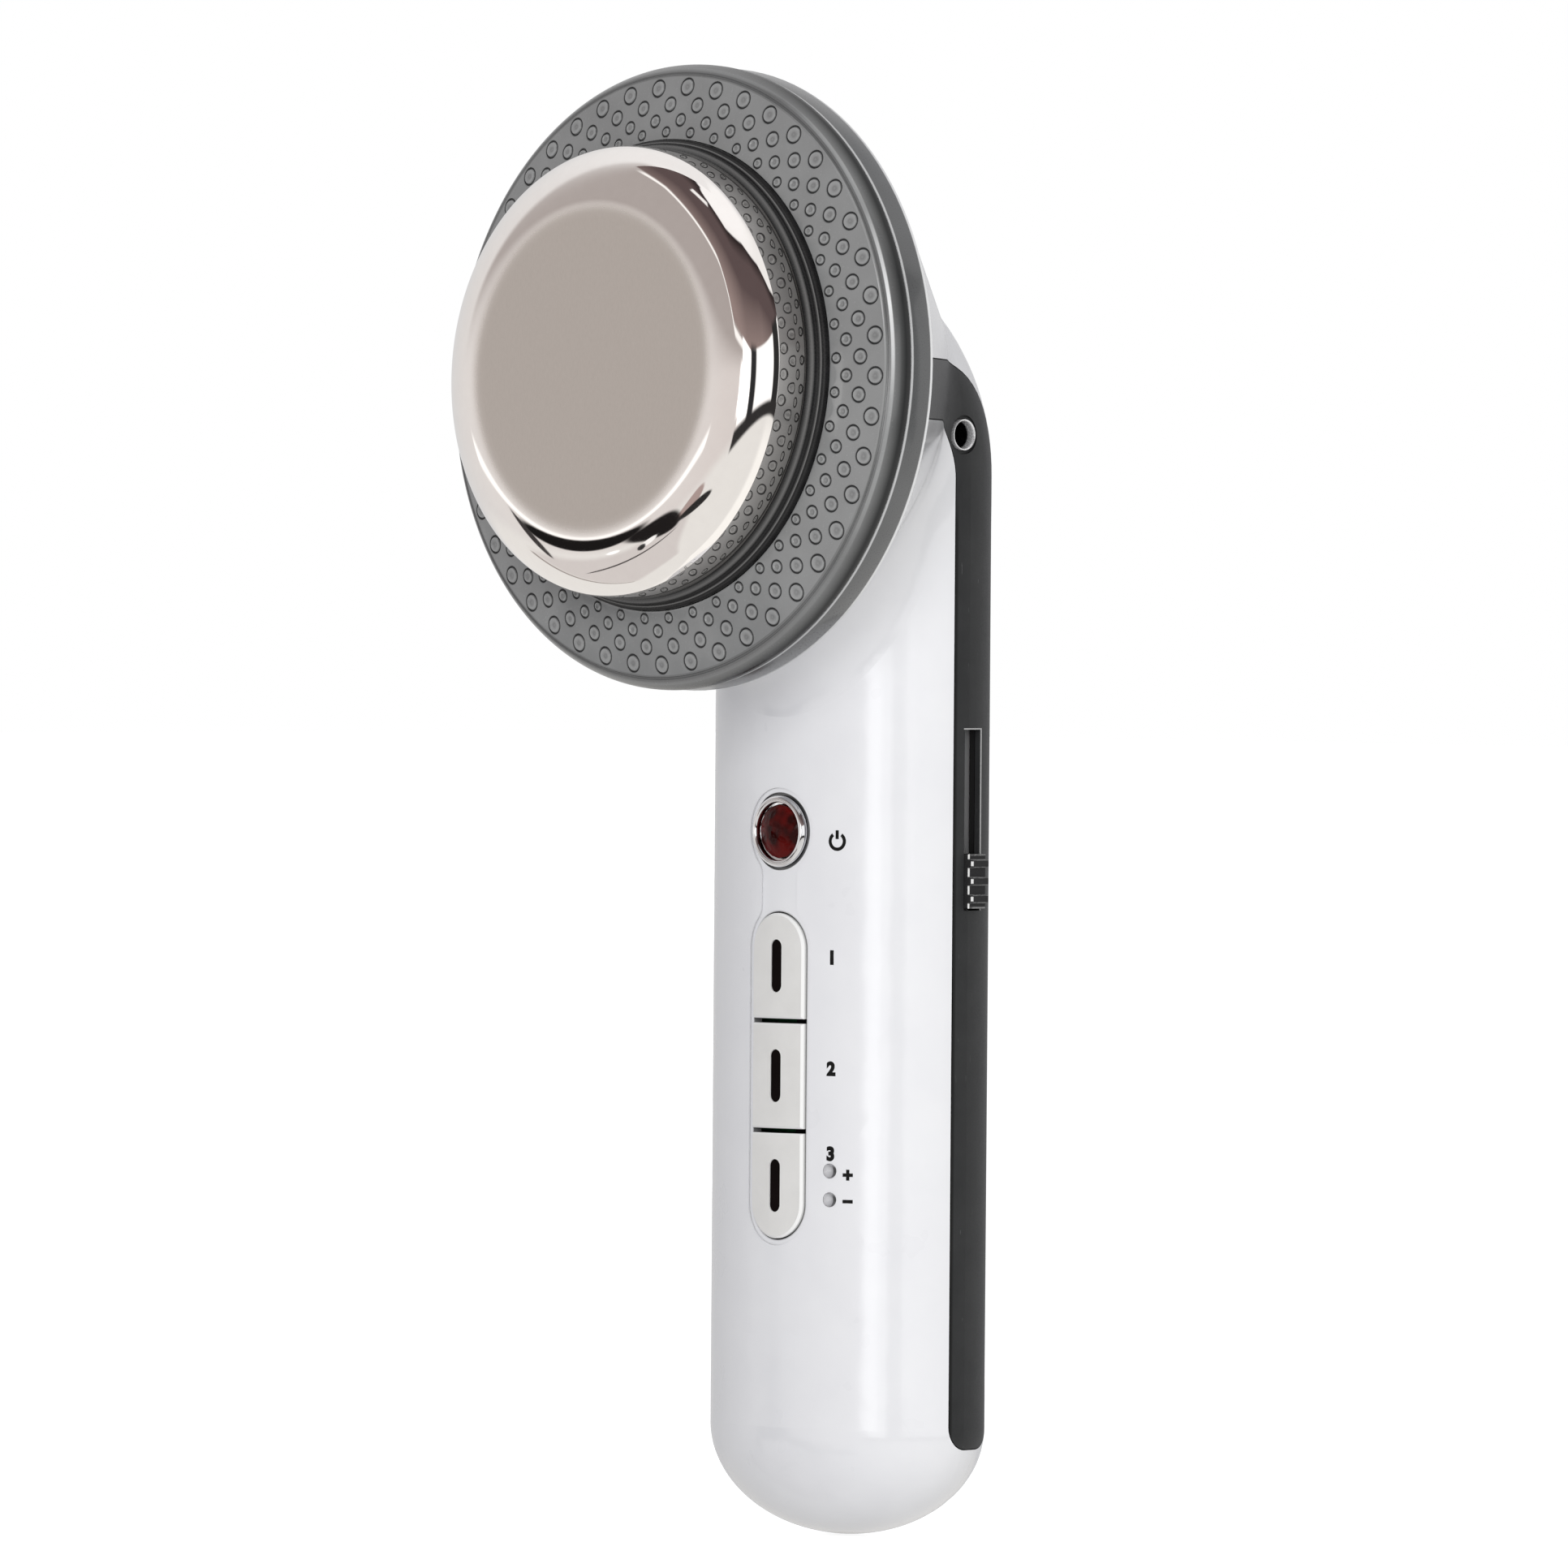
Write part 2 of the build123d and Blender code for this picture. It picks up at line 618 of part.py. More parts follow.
def side_bands():
    """The right band, with its slot and socket hole, and the plain left band, both glued in."""
    layer = body(0, NECK_BLEND) - body(BAND_THICKNESS - FIT)
    right = side_slab(band_outline(), 0, HANDLE_WIDTH) & layer
    left = side_slab(band_outline(), -HANDLE_WIDTH, 0) & layer
    dimple_floor = (HALF_WIDTH - SOCKET_DIMPLE_DEPTH, SOCKET_Y, SOCKET_HEIGHT)
    dimple = rod(dimple_floor, (1, 0, 0), SOCKET_DIMPLE_RADIUS, HALF_WIDTH)
    hole_start = (HALF_WIDTH - 2 * WALL, SOCKET_Y, SOCKET_HEIGHT)
    hole = rod(hole_start, (1, 0, 0), SLEEVE_RADIUS + FIT, HALF_WIDTH)
    return right - side_slot() - hole - dimple, left


# ---------------------------------------------------------------- treatment head


def head_bezel():
    """The grey ring behind the lens, with the floor that carries the head's pieces."""
    lip_outer = neck_radius(-BEZEL_LIP, WALL) - FIT
    ring = turned_ring(
        (BEZEL_BORE, 0),
        (lip_outer - BEZEL_LIP_WALL, 0),
        (lip_outer - BEZEL_LIP_WALL, -BEZEL_LIP),
        (lip_outer, -BEZEL_LIP),
        (lip_outer, 0),
        (BEZEL_RADIUS, 0),
        (BEZEL_RADIUS, BEZEL_DEPTH),
        (LENS_BORE, BEZEL_DEPTH),
        (LENS_BORE, BEZEL_FLOOR),
        (BEZEL_BORE, BEZEL_FLOOR),
    )
    return ring - clamp_holes(SCREW_RADIUS + FIT) - lead_hole()


def lead_hole():
    """The hole in the bezel's floor for the lamp ring's leads."""
    return HEAD * Pos(0, -LEAD_HOLE_RING, 0) * Cylinder(LEAD_HOLE_RADIUS, 3 * BEZEL_FLOOR)


def clamp_holes(radius):
    """Round holes at the clamp screws, right through the bezel's floor and the clamp."""
    depth = 2 * (BEZEL_FLOOR + 2 * CLAMP_THICKNESS)
    return [HEAD * Pos(x, up, 0) * Cylinder(radius, depth) for x, up in clamp_screws()]


def infrared_lens():
    """The smoked ring that covers the lamps: a sloping face with a rounded rim."""
    rim_height = LENS_EDGE_FRONT - LENS_RIM_START
    outline = [
        Line((SEAL_RADIUS, LENS_INNER_FRONT), (LENS_FLAT_RADIUS, LENS_EDGE_FRONT)),
        EllipticalCenterArc(
            (LENS_FLAT_RADIUS, LENS_RIM_START), LENS_RIM, rim_height, start_angle=0, arc_size=90
        ),
        Polyline(
            (LENS_RADIUS, LENS_RIM_START),
            (LENS_RADIUS, LENS_BACK),
            (LENS_BORE, LENS_BACK),
            (LENS_BORE, LENS_EDGE_FRONT - LENS_WALL),
            (LENS_SKIRT_RADIUS, LENS_INNER_FRONT - LENS_WALL),
            (LENS_SKIRT_RADIUS, BEZEL_FLOOR),
            (SEAL_RADIUS, BEZEL_FLOOR),
            (SEAL_RADIUS, LENS_INNER_FRONT),
        ),
    ]
    return turned(outline)


def head_seal():
    """The dark collar between the metal cup and the lens."""
    back = BEZEL_FLOOR + SEAL_BACK_GAP
    step = LENS_INNER_FRONT + SEAL_STEP
    shoulder = LENS_INNER_FRONT + SEAL_SHOULDER
    lip = CUP_BACK - SEAL_LIP_DEPTH
    return turned_ring(
        (CUP_SKIRT_RADIUS, back),
        (SEAL_RADIUS, back),
        (SEAL_RADIUS, step),
        (SEAL_LIP_RADIUS + SEAL_SHOULDER_WIDTH, shoulder),
        (SEAL_LIP_RADIUS, lip),
        (CUP_RADIUS - FIT, CUP_BACK),
        (CUP_SKIRT_RADIUS, CUP_BACK),
    )


def cup_outline(inset, foot_forward):
    """Half-profile edges of the cup's front, shoulder and wall, inset by a thickness."""
    flat = CUP_FLAT_RADIUS - inset / 2
    front = CUP_FRONT - inset
    wall = CUP_RADIUS - inset
    shoulder = EllipticalCenterArc(
        (flat, CUP_SHOULDER), wall - flat, front - CUP_SHOULDER, start_angle=0, arc_size=90
    )
    return [
        Line((0, front), (flat, front)),
        shoulder,
        Line((wall, CUP_SHOULDER), (wall, foot_forward)),
    ]


def contact_head():
    """The polished metal cup that touches the skin, with the skirt that holds it."""
    closing = Polyline((CUP_RADIUS, CUP_BACK), (0, CUP_BACK), (0, CUP_FRONT))
    solid = turned(cup_outline(0, CUP_BACK) + [closing])
    skirt = turned_ring(
        (0, BEZEL_FLOOR), (CUP_SKIRT_RADIUS, BEZEL_FLOOR), (CUP_SKIRT_RADIUS, CUP_BACK), (0, CUP_BACK)
    )
    step = CUP_BACK + CUP_WALL
    inside = Polyline(
        (CUP_RADIUS - CUP_WALL, step),
        (SKIRT_BORE, step),
        (SKIRT_BORE, 0),
        (0, 0),
        (0, CUP_FRONT - CUP_WALL),
    )
    return joined(solid, skirt) - turned(cup_outline(CUP_WALL, step) + [inside])


def cup_back_face():
    """Forward distance of the inside of the cup's flat front."""
    return CUP_FRONT - CUP_WALL


def transducer():
    """The piezo disc bonded inside the cup's front."""
    front = cup_back_face()
    back = front - TRANSDUCER_THICKNESS
    return turned_ring((0, back), (TRANSDUCER_RADIUS, back), (TRANSDUCER_RADIUS, front), (0, front))


def damping_pad():
    """The foam disc behind the piezo, slotted for its leads."""
    front = cup_back_face() - TRANSDUCER_THICKNESS
    back = front - PAD_THICKNESS
    radius = TRANSDUCER_RADIUS - PAD_INSET
    pad = turned_ring((0, back), (radius, back), (radius, front), (0, front))
    slot = Cylinder(PAD_SLOT_RADIUS, 2 * PAD_THICKNESS)
    return pad - [HEAD * Pos(x, 0, back) * slot for x in TRANSDUCER_LEAD_XS]


def head_clamp():
    """The ring inside the cup's skirt that the clamp screws pull against the bezel."""
    outer = SKIRT_BORE - FIT
    inner = outer - CLAMP_WIDTH
    back = BEZEL_FLOOR
    front = back + CLAMP_THICKNESS
    ring = turned_ring((inner, back), (outer, back), (outer, front), (inner, front))
    return ring - clamp_holes(SCREW_RADIUS)


def clamp_screws():
    """Places of the four screws that hold the head's clamp ring."""
    radius = BEZEL_BORE + BEZEL_LEDGE - SCREW_HEAD_RADIUS + CLAMP_SCREW_SHIFT
    angles = [radians(angle) for angle in CLAMP_SCREW_ANGLES]
    return [(radius * cos(angle), radius * sin(angle)) for angle in angles]


def clamp_screw_group():
    """The four clamp screws, driven forwards through the bezel's floor."""
    forward = tuple(HEAD.z_dir)
    length = BEZEL_FLOOR + CLAMP_THICKNESS - FIT
    return [screw(tuple(head_point(x, up, 0)), forward, length) for x, up in clamp_screws()]


def infrared_board():
    """The ring board that carries the infrared lamps."""
    inner = LENS_SKIRT_RADIUS + LED_BOARD_GAP
    outer = LENS_BORE - LED_BOARD_GAP
    back = BEZEL_FLOOR
    front = LED_BOARD_FRONT
    return turned_ring((inner, back), (outer, back), (outer, front), (inner, front))


def infrared_lamps():
    """Low round lamps, evenly spaced on the ring board."""
    standing = (Align.CENTER, Align.CENTER, Align.MIN)
    flange = Cylinder(LED_FLANGE_RADIUS, LED_FLANGE_HEIGHT, align=standing)
    lamp = flange + Cylinder(LED_BEAD_RADIUS, LED_BEAD_HEIGHT, align=standing)
    pitch = 360 / LED_COUNT
    place = Pos(LED_RING_RADIUS, 0, LED_BOARD_FRONT)
    return [HEAD * Rot(0, 0, (step + 0.5) * pitch) * place * lamp for step in range(LED_COUNT)]


# ---------------------------------------------------------------- front controls


def lamp_seat_y():
    """Y of the flat seat under the power lamp's ring."""
    return skin_y(LAMP_HOLE_RADIUS) + LAMP_SEAT_DEPTH


def lamp_barrel_radius():
    """Radius of the ring's barrel, which passes through the casing."""
    return LAMP_RING_RADIUS - LAMP_RING_STEP


def power_lamp_ring():
    """The bright ring: a bevelled flange and a barrel."""
    seat = lamp_seat_y()
    front = -HALF_DEPTH - LAMP_RING_PROUD
    flange = rod((0, seat, LAMP_HEIGHT), (0, -1, 0), LAMP_RING_RADIUS, seat - front)
    front_edge = flange.edges().filter_by(GeomType.CIRCLE).sort_by(Axis.Y)[0]
    flange = chamfer(front_edge, LAMP_RING_CHAMFER)
    barrel = rod((0, seat + WALL, LAMP_HEIGHT), (0, -1, 0), lamp_barrel_radius(), WALL)
    bore = rod((0, 0, LAMP_HEIGHT), (0, -1, 0), LAMP_LENS_RADIUS + FIT / 2, HANDLE_DEPTH)
    return joined(flange, barrel) - bore


def power_lamp_lens():
    """The red domed lens, hollow for the lamp behind it."""
    back = lamp_seat_y() + WALL
    shoulder = -HALF_DEPTH - LAMP_LENS_SHOULDER
    barrel = rod((0, back, LAMP_HEIGHT), (0, -1, 0), LAMP_LENS_RADIUS, back - shoulder)
    thickness = LAMP_LENS_FLANGE_THICKNESS
    flange_back = (0, back + thickness, LAMP_HEIGHT)
    flange = rod(flange_back, (0, -1, 0), LAMP_LENS_RADIUS + LAMP_LENS_FLANGE, thickness)
    sag = LAMP_LENS_PROUD
    ball = (LAMP_LENS_RADIUS**2 + sag**2) / (2 * sag)
    dome = Pos(0, shoulder - sag + ball, LAMP_HEIGHT) * Sphere(ball)
    cap = dome & rod((0, shoulder, LAMP_HEIGHT), (0, -1, 0), LAMP_LENS_RADIUS, 2 * sag)
    pocket = rod(flange_back, (0, -1, 0), LED_RADIUS + FIT, thickness + LED_POCKET)
    return joined(barrel, flange, cap) - pocket


def power_lamp_led():
    """The lamp behind the lens, on two legs that stand on the board."""
    tip = lamp_seat_y() + WALL - LED_POCKET + LED_TIP_GAP
    foot_y = BOARD_Y - LED_LEG_LENGTH
    length = foot_y - (tip + LED_RADIUS)
    barrel = rod((0, foot_y, LAMP_HEIGHT), (0, -1, 0), LED_RADIUS, length)
    tip_ball = Pos(0, tip + LED_RADIUS, LAMP_HEIGHT) * Sphere(LED_RADIUS)
    flange = rod((0, foot_y, LAMP_HEIGHT), (0, -1, 0), LED_RADIUS + LED_BASE_WIDTH, LED_BASE)
    legs = [
        rod((x, BOARD_Y, LAMP_HEIGHT), (0, -1, 0), LED_LEG_RADIUS, LED_LEG_LENGTH + LED_BASE / 2)
        for x in (-LED_LEG_X, LED_LEG_X)
    ]
    return joined(barrel, tip_ball, flange, *legs)


def flange_front():
    """Y of the front of the buttons' flanges, behind the casing's wall."""
    return skin_y(0, WALL) + BUTTON_FLANGE_GAP


def button_span(index):
    """Lowest and highest Z of a button."""
    centre = BUTTON_HEIGHTS[index]
    return centre - BUTTON_LENGTH / 2, centre + BUTTON_LENGTH / 2


def button_cap(index, outside):
    """One cap: the pill's slice with a curved face, a flange and a stem."""
    low, high = button_span(index)
    slice_box = block((-PILL_WIDTH, PILL_WIDTH), (-HANDLE_DEPTH, 0), (low, high))
    flange_y = flange_front()
    cap = front_slab(pill(), flange_y, -HANDLE_DEPTH) & slice_box & outside
    face_edge = skin_y(PILL_WIDTH / 2)
    front_edges = cap.edges().filter_by(lambda edge: edge.center().Y < face_edge)
    cap = chamfer(front_edges, BUTTON_CHAMFER)
    flange_low = low - (BUTTON_FLANGE if index == 2 else 0)
    flange_high = high + (BUTTON_FLANGE if index == 0 else 0)
    half = PILL_WIDTH / 2 + BUTTON_FLANGE
    flange_back = flange_y + BUTTON_FLANGE_THICKNESS
    flange = block((-half, half), (flange_y, flange_back), (flange_low, flange_high))
    stem_start = (0, plunger_face(), switch_height(index))
    stem = rod(stem_start, (0, -1, 0), STEM_RADIUS, plunger_face() - flange_y)
    window = upright_slot(0, BUTTON_HEIGHTS[index], WINDOW_WIDTH, WINDOW_LENGTH)
    return joined(cap, flange, stem) - front_slab(window, 0, -HANDLE_DEPTH)


def button_window(index, outside):
    """The dark insert in a button, just below the face."""
    window = upright_slot(0, BUTTON_HEIGHTS[index], WINDOW_WIDTH, WINDOW_LENGTH)
    slab = front_slab(window, flange_front() + BUTTON_FLANGE_THICKNESS, -HANDLE_DEPTH)
    return slab & outside


def plunger_face():
    """Y of the switch plungers' faces, where the stems touch them."""
    return BOARD_Y - SWITCH_HEIGHT - PLUNGER_PROUD


def switch_height(index):
    """Z of the switch under a button."""
    return BUTTON_HEIGHTS[index] - SWITCH_OFFSET


def switch_plunger(index):
    """The round plunger of one switch, reaching into its body."""
    depth = PLUNGER_PROUD + PLUNGER_DEPTH
    start = (0, plunger_face() + depth, switch_height(index))
    return rod(start, (0, -1, 0), PLUNGER_RADIUS, depth)


def button_switches():
    """The three switch bodies on the board."""
    switches = []
    half = SWITCH_SIZE / 2
    face = BOARD_Y - SWITCH_HEIGHT
    well_depth = PLUNGER_DEPTH + BUTTON_TRAVEL + PLUNGER_BOTTOM_GAP
    for index in range(3):
        height = switch_height(index)
        case = block((-half, half), (BOARD_Y, face), (height - half, height + half))
        well_bottom = (0, face + well_depth, height)
        well = rod(well_bottom, (0, -1, 0), PLUNGER_RADIUS + RUNNING_FIT, 2 * well_depth)
        switches.append(case - well)
    return switches


def indicator_leds():
    """Small square lamps on the board, behind the windows and the level lights."""
    behind_windows = [(0, height + INDICATOR_OFFSET) for height in BUTTON_HEIGHTS]
    behind_levels = [(LEVEL_X, height) for height in LEVEL_HEIGHTS]
    middle_y = BOARD_Y - INDICATOR_HEIGHT / 2
    led = Box(INDICATOR_SIZE, INDICATOR_HEIGHT, INDICATOR_LENGTH)
    return [Pos(x, middle_y, height) * led for x, height in behind_windows + behind_levels]


def level_guides():
    """Two clear rods that carry light to the dimples beside the lowest button."""
    guides = []
    face = skin_y(LEVEL_X) + LEVEL_SUNK
    outer_edge = LEVEL_X + LEVEL_HOLE_RADIUS + LEVEL_COLLAR
    collar_back = skin_y(outer_edge, WALL) + FIT + LEVEL_COLLAR_THICKNESS
    foot_y = BOARD_Y - INDICATOR_HEIGHT - FIT
    for height in LEVEL_HEIGHTS:
        foot = (LEVEL_X, foot_y, height)
        guide = rod(foot, (0, -1, 0), LEVEL_HOLE_RADIUS - FIT / 2, foot_y - face)
        collar_start = (LEVEL_X, collar_back, height)
        radius = LEVEL_HOLE_RADIUS + LEVEL_COLLAR
        guides.append(guide + rod(collar_start, (0, -1, 0), radius, LEVEL_COLLAR_THICKNESS))
    return guides


# ---------------------------------------------------------------- slider and socket


def wall_inner_x():
    """X of the casing's inner wall at the slot's rear edge."""
    return skin_x(SLOT_Y + SLOT_WIDTH / 2 + SHIELD_OVERLAP, WALL)


def shield_span():
    """Inner and outer X of the strip that closes the slot."""
    outer = wall_inner_x() - SHIELD_GAP
    return outer - SHIELD_THICKNESS, outer


def fader_face_x():
    """X of the fader's outer face."""
    return shield_span()[0] - FADER_GAP


def slider_knob():
    """The ribbed knob in the slot, seated on the shield strip."""
    outer = skin_x(SLOT_Y) + KNOB_PROUD
    half_width = SLOT_WIDTH / 2 - KNOB_SIDE_GAP
    low = KNOB_HEIGHT - KNOB_LENGTH / 2
    high = KNOB_HEIGHT + KNOB_LENGTH / 2
    y_span = (SLOT_Y - half_width, SLOT_Y + half_width)
    knob = block((shield_span()[1], outer), y_span, (low, high))
    ribs = []
    half_rib = KNOB_RIB_WIDTH / 2
    for step in (-1, 0, 1):
        middle = KNOB_HEIGHT + step * KNOB_RIB_PITCH
        z_span = (middle - half_rib, middle + half_rib)
        ribs.append(block((outer - KNOB_RIB, outer + KNOB_RIB), y_span, z_span))
    return joined(knob, *ribs) - slider_lever()


def slider_shield():
    """The thin strip behind the slot that travels with the knob."""
    half = SLOT_WIDTH / 2 + SHIELD_OVERLAP
    reach = SLOT_LENGTH - KNOB_LENGTH / 2 + 1
    y_span = (SLOT_Y - half, SLOT_Y + half)
    strip = block(shield_span(), y_span, (KNOB_HEIGHT - reach, KNOB_HEIGHT + reach))
    return strip - slider_lever()


def slider_lever():
    """The fader's flat metal lever."""
    half = LEVER_THICKNESS / 2
    x_span = (fader_face_x() - LEVER_REACH, skin_x(SLOT_Y) - LEVER_SUNK)
    z_span = (KNOB_HEIGHT - LEVER_LENGTH / 2, KNOB_HEIGHT + LEVER_LENGTH / 2)
    return block(x_span, (SLOT_Y - half, SLOT_Y + half), z_span)


def slide_fader():
    """The slide control's case, soldered to the back of the board, open for its lever."""
    outer = fader_face_x()
    low = KNOB_HEIGHT - LEVER_LENGTH / 2
    high = KNOB_HEIGHT + SLIDER_TRAVEL + LEVER_LENGTH / 2
    y_span = (BOARD_BACK, BOARD_BACK + FADER_DEPTH)
    case = block((outer - FADER_HEIGHT, outer), y_span, (low - FADER_END, high + FADER_END))
    half = LEVER_THICKNESS / 2 + FADER_CHANNEL_GAP
    x_span = (outer - FADER_CHANNEL_DEPTH, outer + FADER_GAP)
    z_span = (low - KNOB_END_GAP, high + KNOB_END_GAP)
    return case - block(x_span, (SLOT_Y - half, SLOT_Y + half), z_span)


def socket_sleeve():
    """The bright sleeve of the power socket, with its rim just proud of the band."""
    start = (SOCKET_BOTTOM, SOCKET_Y, SOCKET_HEIGHT)
    tube = rod(start, (1, 0, 0), SLEEVE_RADIUS, SOCKET_DEPTH)
    return tube - rod(start, (1, 0, 0), SOCKET_RADIUS, SOCKET_DEPTH)


def socket_housing():
    """The moulded block round the sleeve, inside the casing."""
    half = SOCKET_BLOCK / 2
    y_span = (SOCKET_Y - half, SOCKET_Y + half)
    z_span = (SOCKET_HEIGHT - half, SOCKET_HEIGHT + half)
    case = block((SOCKET_BACK, HALF_WIDTH - 2 * WALL), y_span, z_span)
    return case - rod((SOCKET_BOTTOM, SOCKET_Y, SOCKET_HEIGHT), (1, 0, 0), SLEEVE_RADIUS, SOCKET_DEPTH)


def socket_contacts():
    """Two solder tabs at the back of the socket's housing."""
    tab = Box(TAB_LENGTH, TAB_THICKNESS, TAB_WIDTH)
    middle_x = SOCKET_BACK - TAB_LENGTH / 2
    return [Pos(middle_x, SOCKET_Y, height) * tab for height in TAB_HEIGHTS]


# ---------------------------------------------------------------- electronics


def main_board():
    """The long board that is screwed to the front casing's bosses."""
    half = skin_x(BOARD_Y, WALL) - BOARD_MARGIN
    board = block((-half, half), (BOARD_Y, BOARD_BACK), (BOARD_FOOT, BOARD_TOP))
    board = chamfer(board.edges().filter_by(Axis.Y), BOARD_CORNER)
    holes = [rod((x, 0, z), (0, -1, 0), SCREW_RADIUS + FIT, HALF_DEPTH) for x, z in BOARD_SCREWS]
    return board - holes


def board_screw_group():
    """The screws that hold the board, driven from behind."""
    return [screw((x, BOARD_BACK, z), (0, -1, 0), BOARD_SCREW_LENGTH) for x, z in BOARD_SCREWS]


def case_screw_group():
    """The screws that join the two casings."""
    length = case_screw_seat_y() - SPLIT_Y + CASE_SCREW_GRIP
    return [screw((0, case_screw_seat_y(), z), (0, -1, 0), length) for z in CASE_SCREW_HEIGHTS]


def on_board(x, z, width, length, depth):
    """A block standing on the back of the board."""
    return Pos(x, BOARD_BACK + depth / 2, z) * Box(width, depth, length)


def disc_on_board(x, z, radius, low, high):
    """A disc parallel to the board, between two distances from its back."""
    return rod((x, BOARD_BACK + low, z), (0, 1, 0), radius, high - low)


def transformer_core():
    """The transformer's ferrite frame, a closed square round the coil."""
    frame = on_board(TRANSFORMER_X, TRANSFORMER_HEIGHT, CORE_WIDTH, CORE_LENGTH, CORE_DEPTH)
    width = COIL_WIDTH + 2 * FIT
    length = COIL_LENGTH + 2 * FIT
    return frame - on_board(TRANSFORMER_X, TRANSFORMER_HEIGHT, width, length, 2 * CORE_DEPTH)


def transformer_coil():
    """The wound coil inside the ferrite frame."""
    coil = on_board(TRANSFORMER_X, TRANSFORMER_HEIGHT, COIL_WIDTH, COIL_LENGTH, COIL_DEPTH)
    return fillet(coil.edges().filter_by(Axis.Z), COIL_CORNER)


def smoothing_capacitors():
    """Three round capacitors standing on the board."""
    cans = [disc_on_board(CAPACITOR_X, z, CAPACITOR_RADIUS, 0, CAPACITOR_DEPTH) for z in CAN_HEIGHTS]
    return [fillet(can.edges().filter_by(GeomType.CIRCLE), CAPACITOR_EDGE) for can in cans]


def power_inductor():
    """The drum-shaped inductor: a wound drum between two flanges."""
    place = (INDUCTOR_X, INDUCTOR_HEIGHT)
    lower = disc_on_board(*place, INDUCTOR_RADIUS, 0, INDUCTOR_FLANGE)
    drum = disc_on_board(*place, INDUCTOR_DRUM_RADIUS, 0, INDUCTOR_DEPTH)
    upper_start = INDUCTOR_DEPTH - INDUCTOR_FLANGE
    upper = disc_on_board(*place, INDUCTOR_RADIUS, upper_start, INDUCTOR_DEPTH)
    return joined(lower, drum, upper)


def driver_chips():
    """The controller and two driver chips."""
    side = CONTROLLER_SIZE
    controller = on_board(CONTROLLER_X, BOARD_TOP - CONTROLLER_BELOW_TOP, side, side, CHIP_DEPTH)
    height = BOARD_TOP - DRIVER_BELOW_TOP
    drivers = [on_board(x, height, DRIVER_WIDTH, DRIVER_LENGTH, CHIP_DEPTH) for x in DRIVER_XS]
    return [controller] + drivers


def heat_sink():
    """The finned block that cools the drivers."""
    base = on_board(SINK_X, INDUCTOR_HEIGHT, SINK_WIDTH, SINK_LENGTH, SINK_BASE)
    fins = []
    for step in range(FIN_COUNT):
        x = SINK_X + (step - (FIN_COUNT - 1) / 2) * FIN_PITCH
        fins.append(on_board(x, INDUCTOR_HEIGHT, FIN_THICKNESS, SINK_LENGTH, SINK_DEPTH))
    return joined(base, *fins)


def board_connectors():
    """The two sockets for the head's leads, at the top of the board."""
    height = BOARD_TOP - CONNECTOR_BELOW_TOP
    width = CONNECTOR_WIDTH
    return [on_board(x, height, width, CONNECTOR_LENGTH, width) for x in (-CONNECTOR_X, CONNECTOR_X)]


def quartz_crystal():
    """The controller's crystal can."""
    height = BOARD_TOP - CRYSTAL_BELOW_TOP
    can = on_board(CRYSTAL_X, height, CRYSTAL_WIDTH, CRYSTAL_LENGTH, CRYSTAL_DEPTH)
    return fillet(can.edges().filter_by(Axis.Y), CRYSTAL_WIDTH / 2 - FIT)


# ---------------------------------------------------------------- leads


def lead(points, radius):
    """A round insulated lead along straight runs joined by arcs."""
    path = FilletPolyline(*points, radius=radius)
    start = Vector(points[0])
    direction = Vector(points[1]) - start
    return sweep(Plane(origin=start, z_dir=direction) * Circle(LEAD_RADIUS), path=path)


def plug_points(x, row, above):
    """The last two points of a lead: above the board, and in the top of its connector."""
    y = BOARD_BACK + CONNECTOR_WIDTH / 2 - LEAD_SPACING / 2 + LEAD_SPACING * row
    inside = BOARD_TOP - CONNECTOR_BELOW_TOP + CONNECTOR_LENGTH / 2
    return [(x, y, BEND_HEIGHT - above), (x, y, inside)]


def transducer_leads():
    """The red and black leads from the piezo to the left connector."""
    start = cup_back_face() - TRANSDUCER_THICKNESS
    leads = []
    for step, x in enumerate(TRANSDUCER_LEAD_XS):
        end = plug_points(-CONNECTOR_X - 1 + 2.4 * step, 0, 12)
        points = [
            tuple(head_point(x, 0, start)),
            tuple(head_point(x, 0, 2)),
            (end[0][0], -4.0, BEND_HEIGHT + 3),
        ]
        leads.append(lead(points + end, 4.5))
    return leads


def electrode_lead():
    """The lead from the metal cup to the left connector."""
    points = [
        tuple(head_point(ELECTRODE_LEAD_X, 0, cup_back_face())),
        tuple(head_point(ELECTRODE_LEAD_X, 0, 12)),
        tuple(head_point(-11, -2, 3)),
        (-12, -1.5, BEND_HEIGHT + 5),
    ]
    return lead(points + plug_points(-CONNECTOR_X + 0.2, 1, 12), 4.5)


def lamp_ring_leads():
    """The two leads from the ring board to the right connector."""
    leads = []
    for step, x in enumerate((-0.8, 0.8)):
        end = plug_points(CONNECTOR_X - 1 + 2 * step, 0, 14)
        points = [
            tuple(head_point(x, -LEAD_HOLE_RING, BEZEL_FLOOR)),
            tuple(head_point(x, -LEAD_HOLE_RING, -3.5)),
            (5.5 + 2 * step, -14.0, BEND_HEIGHT - 4),
        ]
        leads.append(lead(points + end, 2.4))
    return leads


def socket_leads():
    """The two leads from the socket's tabs to the right connector."""
    leads = []
    start_x = SOCKET_BACK - TAB_LENGTH
    for step, height in enumerate(TAB_HEIGHTS):
        end = plug_points(CONNECTOR_X + 1 - 2 * step, 1, 17)
        bend_x = start_x - 3 - 1.5 * step
        points = [
            (start_x, SOCKET_Y, height),
            (bend_x, SOCKET_Y, height),
            (bend_x, end[0][1], BEND_HEIGHT - 8),
        ]
        leads.append(lead(points + end, 2.0))
    return leads


# ---------------------------------------------------------------- assembly


